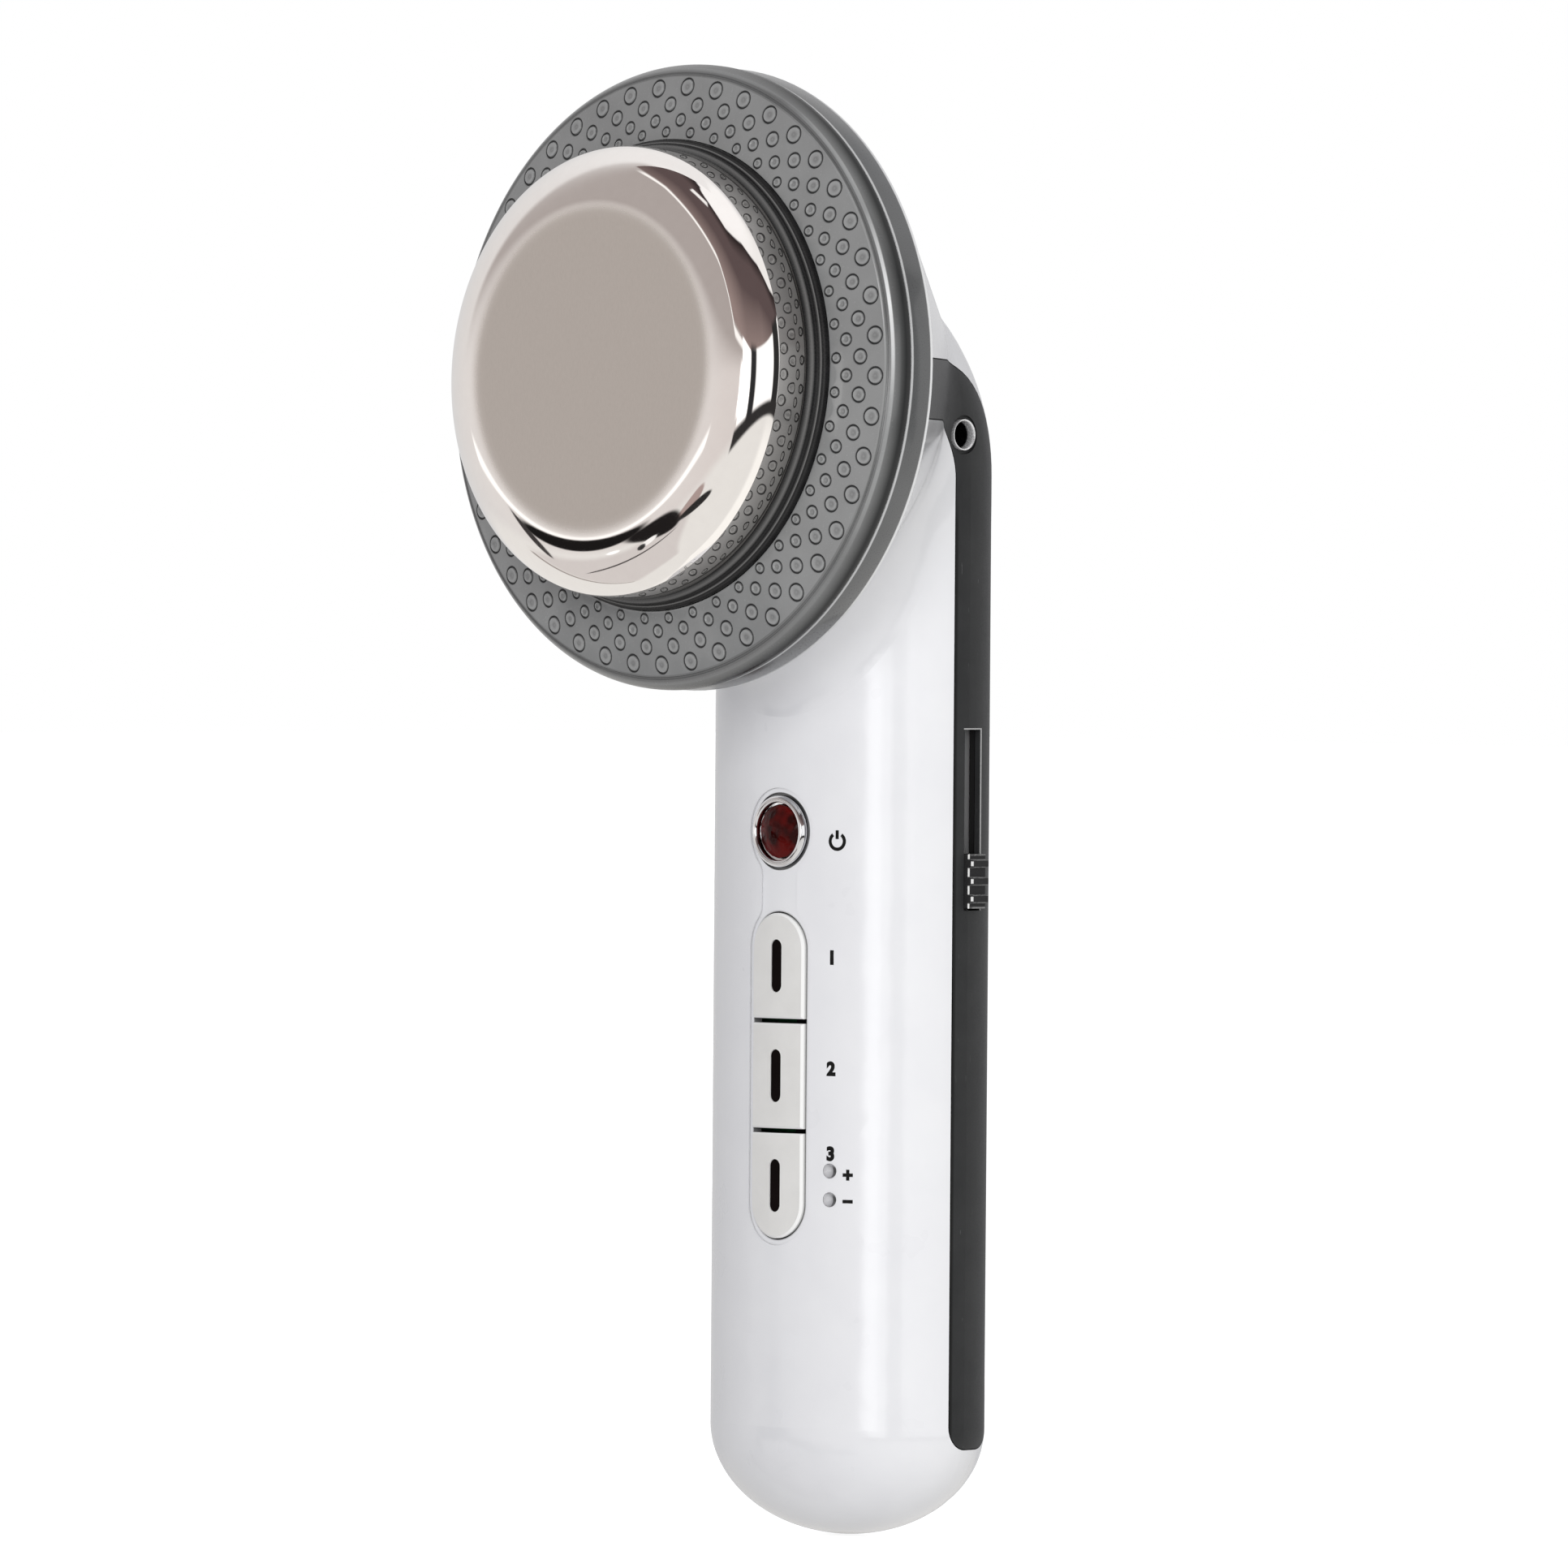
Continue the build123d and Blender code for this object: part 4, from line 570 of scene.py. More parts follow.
class Tree:
    """A node tree with short ways to add what the materials and the studio share."""

    def __init__(self, owner):
        owner.use_nodes = True
        self.nodes, self.links = owner.node_tree.nodes, owner.node_tree.links

    def add(self, kind, inputs=(), **values):
        """A new node, with its properties and its input sockets set."""
        node = self.nodes.new(kind)
        for key, value in values.items():
            setattr(node, key, value)
        for key, value in dict(inputs).items():
            self.feed(node.inputs[key], value)
        return node

    def feed(self, socket, value):
        """Link a signal to a socket, or set its number, vector or colour."""
        if isinstance(value, Signal):
            self.links.new(value.socket, socket)
        elif socket.type == "RGBA":
            socket.default_value = (*value, 1)
        else:
            socket.default_value = value

    def out(self, node, name):
        return Signal(self, node.outputs[name])

    def split(self, vector, axes="XYZ"):
        """The parts of a vector along these axes."""
        node = self.add("ShaderNodeSeparateXYZ", {"Vector": vector})
        return [self.out(node, axis) for axis in axes]

    def ramp(self, factor, stops):
        """A colour ramp from (position, colour) stops."""
        node = self.add("ShaderNodeValToRGB", {"Fac": factor})
        elements = node.color_ramp.elements
        while len(elements) > 1:
            elements.remove(elements[-1])
        elements[0].position = stops[0][0]
        elements[0].color = (*stops[0][1], 1)
        for position, colour in stops[1:]:
            elements.new(position).color = (*colour, 1)
        return self.out(node, "Color")

    def span(self, value, low, high, to_low, to_high, smooth=False):
        """A value carried from one span to another, and held at its ends."""
        inputs = {"Value": value, "From Min": low, "From Max": high, "To Min": to_low, "To Max": to_high}
        node = self.add("ShaderNodeMapRange", inputs)
        if smooth:
            node.interpolation_type = "SMOOTHSTEP"
        return self.out(node, "Result")

    def mix(self, factor, first, second, blend="MIX"):
        """Two colours mixed by a factor."""
        node = self.add("ShaderNodeMix", data_type="RGBA", blend_type=blend)
        for index, value in ((0, factor), (6, first), (7, second)):
            self.feed(node.inputs[index], value)
        return self.out(node, 2)

    def math(self, operation, first, second=None):
        node = self.add("ShaderNodeMath", operation=operation)
        for socket, value in zip(node.inputs, (first, second)):
            if value is not None:
                self.feed(socket, value)
        return self.out(node, 0)


class Paint(Tree):
    """The node tree of a new material, which goes into materials under its name."""

    def __init__(self, name):
        materials[name] = bpy.data.materials.new(name)
        super().__init__(materials[name])
        self.shader = self.nodes["Principled BSDF"]
        self.point = self.out(self.add("ShaderNodeTexCoord"), "Object")

    def set(self, **values):
        """Set the shader's inputs by their names."""
        for key, value in values.items():
            self.feed(self.shader.inputs[key.replace("_", " ").title().replace("Ior", "IOR")], value)

    def place(self, axes="XYZ"):
        """Where the point is along these axes, in millimetres of the frame."""
        return [part / MM for part in self.split(self.point, axes)]

    def attribute(self, name):
        """A value that a mesh carries on its vertices."""
        return self.out(self.add("ShaderNodeAttribute", attribute_name=name), "Fac")

    def noise(self, size, detail=3, stretch=None, roughness=0.55):
        """Noise whose grains are about this many millimetres across."""
        source = self.point
        if stretch:
            source = self.out(self.add("ShaderNodeMapping", {"Vector": source, "Scale": stretch}), "Vector")
        inputs = {"Vector": source, "Scale": 1 / (size * MM), "Detail": detail, "Roughness": roughness}
        return self.out(self.add("ShaderNodeTexNoise", inputs), "Fac")

    def cells(self, size):
        """Distance from the middle of cells that are about this many millimetres across."""
        inputs = {"Vector": self.point, "Scale": 1 / (size * MM)}
        return self.out(self.add("ShaderNodeTexVoronoi", inputs), "Distance")

    def blend(self, factor, first, second):
        """Two shades over the middle of a noise."""
        return self.ramp(factor, [(0.3, first), (0.7, second)])

    def colour(self, value, crease=0.0):
        """Set the colour, with painted shade in narrow creases when a crease reach in millimetres is given.
        """
        if crease:
            hollow = self.add("ShaderNodeAmbientOcclusion", {"Distance": crease * MM}, samples=6)
            value = self.mix(1.0, value, self.span(self.out(hollow, "AO"), 0.1, 0.6, 0.1, 1.0), "MULTIPLY")
        self.set(base_color=value)

    def rough(self, value, low, high):
        """A roughness that follows a noise."""
        self.set(roughness=self.span(value, 0.3, 0.7, low, high))

    def bump(self, height, depth, strength=1.0):
        """A bump of about this many millimetres."""
        node = self.add("ShaderNodeBump", {"Height": height, "Strength": strength, "Distance": depth * MM})
        self.set(normal=self.out(node, "Normal"))


# -------- materials


def grey(level):
    return (level, level, level)


def shades(colour, spread):
    """Two shades of a colour, darker and lighter by a share."""
    dark = tuple(channel * (1 - spread) for channel in colour)
    light = tuple(min(1.0, channel * (1 + spread)) for channel in colour)
    return dark, light


def moulded(name, colour, roughness, grain=0.25, depth=0.004, spread=0.07, coat=0.0, specular=0.5):
    """Moulded plastic: uneven gloss, faint mottling and a fine grain."""
    paint = Paint(name)
    fine = paint.noise(grain, 2)
    paint.colour(paint.blend(paint.noise(6, 4), *shades(colour, spread)))
    paint.rough(fine, roughness * 0.86, roughness * 1.14)
    paint.bump(fine, depth)
    paint.set(coat_weight=coat, coat_roughness=0.08, specular_ior_level=specular)


def metal(name, colour, roughness, stretch=(1, 1, 1), grain=0.2, depth=0.002):
    """Bare metal with drawn or tumbled marks."""
    paint = Paint(name)
    marks = paint.noise(grain, 3, stretch)
    paint.colour(paint.blend(paint.noise(4, 3), *shades(colour, 0.08)))
    paint.rough(marks, roughness * 0.8, roughness * 1.2)
    paint.bump(marks, depth, 0.5)
    paint.set(metallic=1.0)


def opening_lines(paint, x, y, z):
    """1 in a hair line of shade along the edges of the lamp's hole and the buttons' opening."""
    rise = (abs(z - PILL_MIDDLE) - PILL_STRAIGHT).math("MAXIMUM", 0.0)
    across = z - LAMP_Z
    pill = (x * x + rise * rise).math("SQRT")
    hole = (x * x + across * across).math("SQRT")
    near_pill = paint.span(pill, PILL_HALF + 0.22, PILL_HALF + 0.42, 0.6, 0.0)
    near_hole = paint.span(hole, LAMP_HOLE + 0.2, LAMP_HOLE + 0.45, 1.0, 0.0)
    return near_pill.math("MAXIMUM", near_hole) * (y < HANDLE_Y - 10)


def white_shell():
    """Pearl-white gloss moulding with a clear sheen and very fine flakes."""
    paint = Paint("white_shell")
    cloud = paint.noise(9, 3)
    tint = paint.ramp(cloud, [(0.32, (0.792, 0.795, 0.818)), (0.68, (0.82, 0.823, 0.842))])
    glitter = paint.span(paint.noise(0.12, 2), 0.62, 0.8, 0.0, 0.16)
    pearl = paint.mix(glitter, tint, (0.93, 0.93, 0.95))
    x, y, z = paint.place()
    # Painted shade: inside the slider's slot the shell is coloured near black
    level = abs(z - (SLOT_LOW + SLOT_HIGH) / 2) < 14.0
    in_slot = (abs(y - SLOT_Y) < 1.95) * level * (x > 18.5)
    lined = paint.mix(opening_lines(paint, x, y, z) * 0.72, pearl, (0.03, 0.03, 0.032))
    paint.colour(paint.mix(in_slot, lined, grey(0.004)), crease=0.9)
    paint.rough(cloud, 0.27, 0.33)
    paint.bump(paint.noise(1.1, 2, (1, 1, 0.02)), 0.0008, 0.25)
    paint.set(coat_weight=0.9, coat_roughness=0.12, specular_ior_level=0.25)


def dark_band():
    """Fine-textured matte dark grey moulding with a few light rub marks."""
    paint = Paint("dark_band")
    spark = paint.noise(0.16, 3, roughness=0.7)
    base = paint.blend(paint.noise(5, 4), (0.026, 0.027, 0.028), (0.034, 0.035, 0.036))
    speckled = paint.mix(paint.span(spark, 0.6, 0.78, 0.0, 0.30), base, (0.06, 0.062, 0.064))
    rub = paint.span(paint.noise(1.6, 2, (6, 6, 0.55)), 0.735, 0.76, 0.0, 0.5)
    rubbed = paint.mix(rub, speckled, (0.14, 0.14, 0.145))
    x, y, z = paint.place()
    # Dark along the band's long edges
    near_side = paint.span(abs(y - (HANDLE_Y + 2.75)), 4.75, 5.05, 0.0, 0.8)
    edged = paint.mix(near_side * paint.span(z, 138, 142, 1.0, 0.0), rubbed, grey(0.006))
    # A painted highlight: a light line along the slot's rear edge and its top
    across, past_end = y - SLOT_Y, z - SLOT_HIGH
    outside = (abs(across) - SLOT_HALF_WIDTH).math("MAXIMUM", past_end)
    facing = (across > 0.0).math("MAXIMUM", past_end > 0.0)
    line = paint.span(outside, 0.12, 0.2, 1.0, 0.0) * facing * (z > SLOT_LOW) * (x > 21.6)
    paint.colour(paint.mix(line * 0.8, edged, grey(0.6)), crease=0.6)
    paint.rough(spark, 0.42, 0.58)
    paint.bump(spark, 0.018, 0.8)
    paint.set(specular_ior_level=0.28)


def grey_bezel():
    """Satin mid grey whose two outer edges carry painted highlights, the rear one brighter to the right."""
    paint = Paint("grey_bezel")
    fine = paint.noise(0.25, 2)
    base = paint.blend(paint.noise(6, 4), (0.088, 0.09, 0.092), (0.1, 0.103, 0.105))
    x, y, z = paint.place()
    forward = y * HEAD_FRONT.y + z * HEAD_FRONT.z - HEAD_ORIGIN.dot(HEAD_FRONT)
    # Painted highlights along the front and rear edges; the rear one grows brighter towards the right
    front_edge = paint.span(forward, 3.7, 3.84, 0.0, 0.6)
    rear_edge = paint.span(forward, 0.42, 0.6, 1.0, 0.0)
    lit = front_edge.math("MAXIMUM", rear_edge * paint.span(x, 0.0, 36, 0.12, 1.0))
    paint.colour(paint.mix(lit, base, (0.82, 0.825, 0.83)))
    paint.rough(fine, 0.26, 0.34)
    paint.bump(fine, 0.0008, 0.5)
    paint.set(coat_weight=0.4, coat_roughness=0.1)


def dark_collar():
    """Near-black plastic with painted highlights on its fine step edges."""
    paint = Paint("dark_collar")
    fine = paint.noise(0.25, 2)
    base = paint.blend(paint.noise(3, 3), (0.009, 0.009, 0.0095), (0.014, 0.014, 0.0145))
    # Painted highlights on the step edges, from the mesh's values
    paint.colour(paint.mix(paint.attribute("step_highlight"), base, (0.24, 0.236, 0.232)))
    paint.rough(fine, 0.22, 0.32)
    paint.bump(fine, 0.001)
    paint.set(specular_ior_level=0.15)


def smoked_lens():
    """Smoked grey plastic with painted shade in the dots' grooves and on the rim's side, painted light on the
    dots' tops, and polished beads with a painted highlight.
    """
    paint = Paint("smoked_lens")
    fine = paint.noise(0.3, 2)
    groove = paint.attribute("groove")
    base = paint.blend(paint.noise(7, 4), (0.235, 0.238, 0.238), (0.27, 0.274, 0.274))
    # Painted light on the dots' tops, painted highlights on the beads, and painted shade in the grooves and
    # on the rim's side
    lifted = paint.mix(paint.span(groove, -1.0, 0.0, 0.6, 0.0), base, (0.42, 0.425, 0.425))
    bright = paint.mix(paint.span(groove, -1.0, -0.5, 0.9, 0.0), lifted, (0.85, 0.855, 0.86))
    deep = paint.span(groove, 0.0, 1.0, 0.0, 0.92)
    paint.colour(paint.mix(deep, bright, (0.012, 0.0125, 0.013)), crease=0.8)
    paint.rough(fine, 0.2, 0.28)
    paint.bump(fine, 0.003, 0.6)
    paint.set(coat_weight=paint.span(groove, 0.3, 0.9, 0.5, 0.05), coat_roughness=0.06)
    paint.set(specular_ior_level=paint.span(groove, 0.5, 1.0, 0.5, 0.1))


def polished_metal():
    """Warm polished metal whose flat face is finely matted, with painted shade low on the wall."""
    paint = Paint("polished_metal")
    zone = paint.attribute("matte")
    matte = paint.span(zone, 0.0, 1.0, 0.0, 1.0)
    grain = paint.noise(0.22, 4, (1, 1, 0.35))
    weave = paint.noise(1.7, 3)
    face = paint.ramp(grain, [(0.25, (0.66, 0.617, 0.573)), (0.75, (0.705, 0.66, 0.617))])
    mirror = paint.blend(weave, (0.90, 0.868, 0.845), (0.92, 0.89, 0.866))
    # Painted shade: the mirror wall darkens towards the collar
    shaded_wall = paint.mix(paint.span(zone, -1.0, 0.0, 0.62, 0.0), mirror, (0.22, 0.21, 0.2))
    paint.colour(paint.mix(matte, shaded_wall, face))
    dull = paint.span(grain, 0.3, 0.7, 0.36, 0.44)
    wiped = paint.span(weave, 0.3, 0.7, 0.025, 0.05)
    paint.set(metallic=1.0, roughness=wiped + (dull - wiped) * matte)
    paint.bump(grain * matte, 0.004, 0.5)


def button_plastic():
    """Satin warm light grey, with painted highlights on the eased edges and painted shade beside the gaps."""
    paint = Paint("button_plastic")
    fine = paint.noise(0.2, 2)
    face = paint.blend(paint.noise(3.5, 4), (0.745, 0.737, 0.717), (0.785, 0.777, 0.757))
    # Painted highlight: the eased edges, turned away from the front, are coloured lighter
    (facing,) = paint.split(paint.out(paint.add("ShaderNodeNewGeometry"), "Normal"), "Y")
    edge_highlight = paint.mix(paint.span(abs(facing), 0.90, 0.965, 1.0, 0.0, smooth=True), face, (0.9, 0.9, 0.89))
    # Painted shade: the buttons' ends beside the gaps are coloured near black
    (height,) = paint.place("Z")
    low, high = (abs(height - edge) for edge in BUTTON_EDGES)
    in_gap = paint.span(low.math("MINIMUM", high), 0.29, 0.35, 1.0, 0.0)
    paint.colour(paint.mix(in_gap, edge_highlight, grey(0.004)), crease=0.7)
    paint.rough(fine, 0.38, 0.48)
    paint.bump(fine, 0.004, 0.6)


def knob_plastic():
    """Dark plastic with painted highlights on its rib ends and front edge."""
    paint = Paint("knob_plastic")
    fine = paint.noise(0.14, 2)
    base = paint.blend(fine, (0.018, 0.018, 0.019), (0.028, 0.028, 0.029))
    x, y, z = paint.place()
    across = y - (SLOT_Y - SLOT_HALF_WIDTH)
    from_rib = ((z - KNOB_Z) / RIB_PITCH).math("PINGPONG", 0.5) * RIB_PITCH
    # Painted glints: dashes between the ribs and dots on their tops, along the front edge
    dashes = paint.span(across, 0.28, 0.36, 1.0, 0.0) * paint.span(from_rib, 0.55, 0.7, 0.0, 1.0)
    dots = paint.span(across, 0.42, 0.52, 1.0, 0.0) * paint.span(from_rib, 0.26, 0.36, 1.0, 0.0)
    glint = (dashes * (x > 22.76)).math("MAXIMUM", dots * (x > 23.36))
    # Fine painted highlight lines along the ribs and the knob's ends, broken up by a noise
    along_ribs = paint.span(abs(from_rib - 0.52), 0.06, 0.12, 0.5, 0.0)
    along_ends = paint.span(abs(abs(z - KNOB_Z) - 3.6), 0.1, 0.16, 0.6, 0.0)
    patchy = paint.span(paint.noise(0.9, 2), 0.4, 0.55, 0.35, 1.0)
    lines = along_ribs.math("MAXIMUM", along_ends) * (across > 0.4) * patchy * (x > 22.3)
    lined = paint.mix(lines, base, grey(0.36))
    paint.colour(paint.mix(glint * 0.92, lined, (0.85, 0.85, 0.84)))
    paint.rough(fine, 0.45, 0.6)
    paint.bump(fine, 0.006)
    paint.set(specular_ior_level=0.2)


def red_lens():
    """Dark red clear plastic with facets."""
    paint = Paint("red_lens")
    swirl = paint.noise(2.6, 1)
    paint.colour(paint.ramp(swirl, [(0.4, (0.022, 0.0012, 0.001)), (0.6, (0.1, 0.0035, 0.003))]))
    paint.rough(swirl, 0.1, 0.18)
    paint.bump(paint.cells(0.7), 0.07, 0.6)
    paint.set(specular_ior_level=0.12)


def clear_plastic():
    """Frosted clear plastic, with painted shade on the side away from the light and painted light on the
    other side.
    """
    paint = Paint("clear_plastic")
    cloud = paint.noise(0.8, 3)
    shade = paint.attribute("shade")
    base = paint.blend(cloud, (0.4, 0.4, 0.415), (0.46, 0.46, 0.475))
    # Painted light on the near side of each bowl and painted shade on its far side
    pale = paint.mix(paint.span(shade, -0.9, 0.1, 0.75, 0.0), base, (0.74, 0.74, 0.76))
    deep = paint.span(shade, 0.1, 0.95, 0.0, 0.92, smooth=True)
    paint.colour(paint.mix(deep, pale, (0.035, 0.035, 0.036)))
    paint.rough(cloud, 0.22, 0.3)
    paint.set(coat_weight=0.3, coat_roughness=0.1)


def plated_sleeve():
    """Bright plating at the socket's mouth, with painted shade further in."""
    paint = Paint("plated_sleeve")
    marks = paint.noise(0.3, 3)
    plate = paint.blend(marks, (0.80, 0.80, 0.81), (0.88, 0.88, 0.89))
    (x,) = paint.place("X")
    # Painted shade: the sleeve is coloured near black further into the socket
    mouth = paint.span(x, 20.95, 21.25, 0.0, 1.0)
    paint.colour(paint.mix(mouth, grey(0.006), plate))
    paint.rough(marks, 0.22, 0.32)
    paint.set(metallic=0.5)


def circuit_board():
    """Green solder mask over faint copper tracks, with bare pads."""
    paint = Paint("circuit_board")
    turned = {"Vector": paint.point, "Rotation": (radians(90), 0, 0), "Scale": (260, 260, 260)}
    mask = {"Color1": (0.018, 0.13, 0.045), "Color2": (0.022, 0.16, 0.06), "Mortar": (0.04, 0.24, 0.09)}
    mask |= {"Vector": paint.out(paint.add("ShaderNodeMapping", turned), "Vector"), "Mortar Size": 0.03}
    tracks = paint.add("ShaderNodeTexBrick", mask)
    pad = paint.span(paint.cells(1000 / 420), 0.1, 0.13, 0.8, 0.0)
    paint.colour(paint.mix(pad, paint.out(tracks, "Color"), (0.5, 0.47, 0.36)))
    paint.rough(paint.noise(0.2, 2), 0.25, 0.38)
    paint.bump(paint.out(tracks, "Fac"), 0.02, 0.5)


def copper_winding():
    """Enamelled wire, turn beside turn."""
    paint = Paint("copper_winding")
    inputs = {"Vector": paint.point, "Scale": 330, "Distortion": 1.2, "Detail": 1}
    wire = paint.out(paint.add("ShaderNodeTexWave", inputs, wave_type="BANDS", bands_direction="Z"), "Fac")
    paint.colour(paint.ramp(wire, [(0.1, (0.16, 0.05, 0.02)), (0.8, (0.62, 0.27, 0.11))]))
    paint.bump(wire, 0.08)
    paint.set(metallic=0.9, roughness=0.28)


def foam():
    """Closed-cell foam."""
    paint = Paint("foam")
    cells = paint.cells(1000 / 1800)
    paint.colour(paint.ramp(cells, [(0.1, (0.02, 0.02, 0.022)), (0.6, (0.075, 0.075, 0.08))]))
    paint.bump(cells, 0.12)
    paint.set(roughness=0.9)


def capacitor_can():
    """A dark blue sleeve with a lighter printed stripe."""
    paint = Paint("capacitor_can")
    mottle = paint.noise(2, 3)
    sleeve = paint.blend(mottle, (0.02, 0.03, 0.10), (0.035, 0.045, 0.15))
    (x,) = paint.place("X")
    paint.colour(paint.mix(paint.span(x, 11.2, 11.6, 0.0, 1.0), sleeve, (0.55, 0.56, 0.6)))
    paint.rough(mottle, 0.25, 0.35)


def black_plastic():
    """Matte black moulding; the strip behind the slot is painted a lighter grey, as light falling on it."""
    paint = Paint("black_plastic")
    fine = paint.noise(0.25, 2)
    base = paint.blend(paint.noise(5, 3), grey(0.010), grey(0.014))
    x, z = paint.place("XZ")
    # Painted light: the strip behind the slot is coloured grey, lighter than the black around it
    paint.colour(paint.mix((x > 19.0) * (z < 130), base, (0.24, 0.24, 0.245)))
    paint.rough(fine, 0.43, 0.57)
    paint.bump(fine, 0.004)


def make_materials():
    """One material for each of the record's finishes, the socket's plating and the print."""
    makers = [white_shell, dark_band, grey_bezel, smoked_lens, dark_collar, polished_metal, button_plastic]
    makers += [knob_plastic, red_lens, clear_plastic, plated_sleeve, black_plastic, circuit_board]
    makers += [copper_winding, foam, capacitor_can]
    for maker in makers:
        maker()
    metal("bright_ring", (0.74, 0.74, 0.75), 0.07, grain=0.5, depth=0.001)
    metal("plain_metal", (0.66, 0.66, 0.67), 0.3, (1, 1, 0.15))
    metal("screw_steel", (0.55, 0.55, 0.56), 0.26, (1, 1, 0.3))
    metal("brass_parts", (0.72, 0.58, 0.36), 0.28)
    moulded("dark_window", (0.004, 0.002, 0.002), 0.6, spread=0.35, specular=0.05)
    moulded("connector_plastic", (0.74, 0.71, 0.62), 0.45, spread=0.06)
    moulded("ferrite", (0.028, 0.028, 0.03), 0.6, 0.3, 0.03, 0.2)
    moulded("piezo_ceramic", (0.70, 0.67, 0.56), 0.6, 0.2, 0.01, 0.06)
    moulded("infrared_emitter", (0.08, 0.012, 0.03), 0.12, spread=0.3, coat=1.0)
    moulded("lamp_resin", (0.5, 0.05, 0.04), 0.15, spread=0.2, coat=0.8)
    moulded("red_insulation", (0.42, 0.018, 0.016), 0.5, 0.5, 0.01, 0.12)
    moulded("black_insulation", grey(0.018), 0.5, 0.5, 0.01, 0.2)
    moulded("printed_ink", grey(0.006), 0.5, grain=0.08, depth=0.003, spread=0.3, specular=0.15)


# -------- studio


class Sky(Tree):
    """The world's node tree, with shapes in degrees of azimuth from the front and of height."""

    def __init__(self, world):
        super().__init__(world)
        self.nodes.clear()
        self.axes = self.split(self.out(self.add("ShaderNodeTexCoord"), "Generated"))
        x, y, z = self.axes
        self.azimuth = x.math("ARCTAN2", y * -1.0) * (180 / pi)
        self.height = z.math("ARCSINE") * (180 / pi)

    def above(self, value, edge, soft):
        return self.span(value, edge - soft, edge + soft, 0.0, 1.0, smooth=True)

    def below(self, value, edge, soft):
        return self.span(value, edge - soft, edge + soft, 1.0, 0.0, smooth=True)

    def card(self, left, right, low, high, soft=1.5):
        """A patch with four soft sides."""
        across = self.above(self.azimuth, left, soft) * self.below(self.azimuth, right, soft)
        return across * self.above(self.height, low, soft) * self.below(self.height, high, soft)

    def oval(self, azimuth, height, half_width, half_height, turn=0):
        """A soft oval, turned by some degrees."""
        aside, up = self.azimuth - azimuth, self.height - height
        c, s = cos(radians(turn)), sin(radians(turn))
        along = aside * (c / half_width) + up * (s / half_width)
        across = aside * (-s / half_height) + up * (c / half_height)
        return self.span(along * along + across * across, 0.75, 1.25, 1.0, 0.0, smooth=True)

    def edge_line(self, stops):
        """A height that changes with the azimuth, from (azimuth, height) stops."""
        turn = self.span(self.azimuth, -180.0, 180.0, 0.0, 1.0)
        return self.ramp(turn, [((a + 180) / 360, grey(h / 90)) for a, h in stops]) * 90.0

    def lobe(self, turn, lift, strength):
        """Soft light from one side."""
        level = cos(radians(lift))
        aim = (sin(radians(turn)) * level, -cos(radians(turn)) * level, sin(radians(lift)))
        x, y, z = (axis * share for axis, share in zip(self.axes, aim))
        return (x + y + z).math("MAXIMUM", 0.0).math("POWER", 4.0) * strength


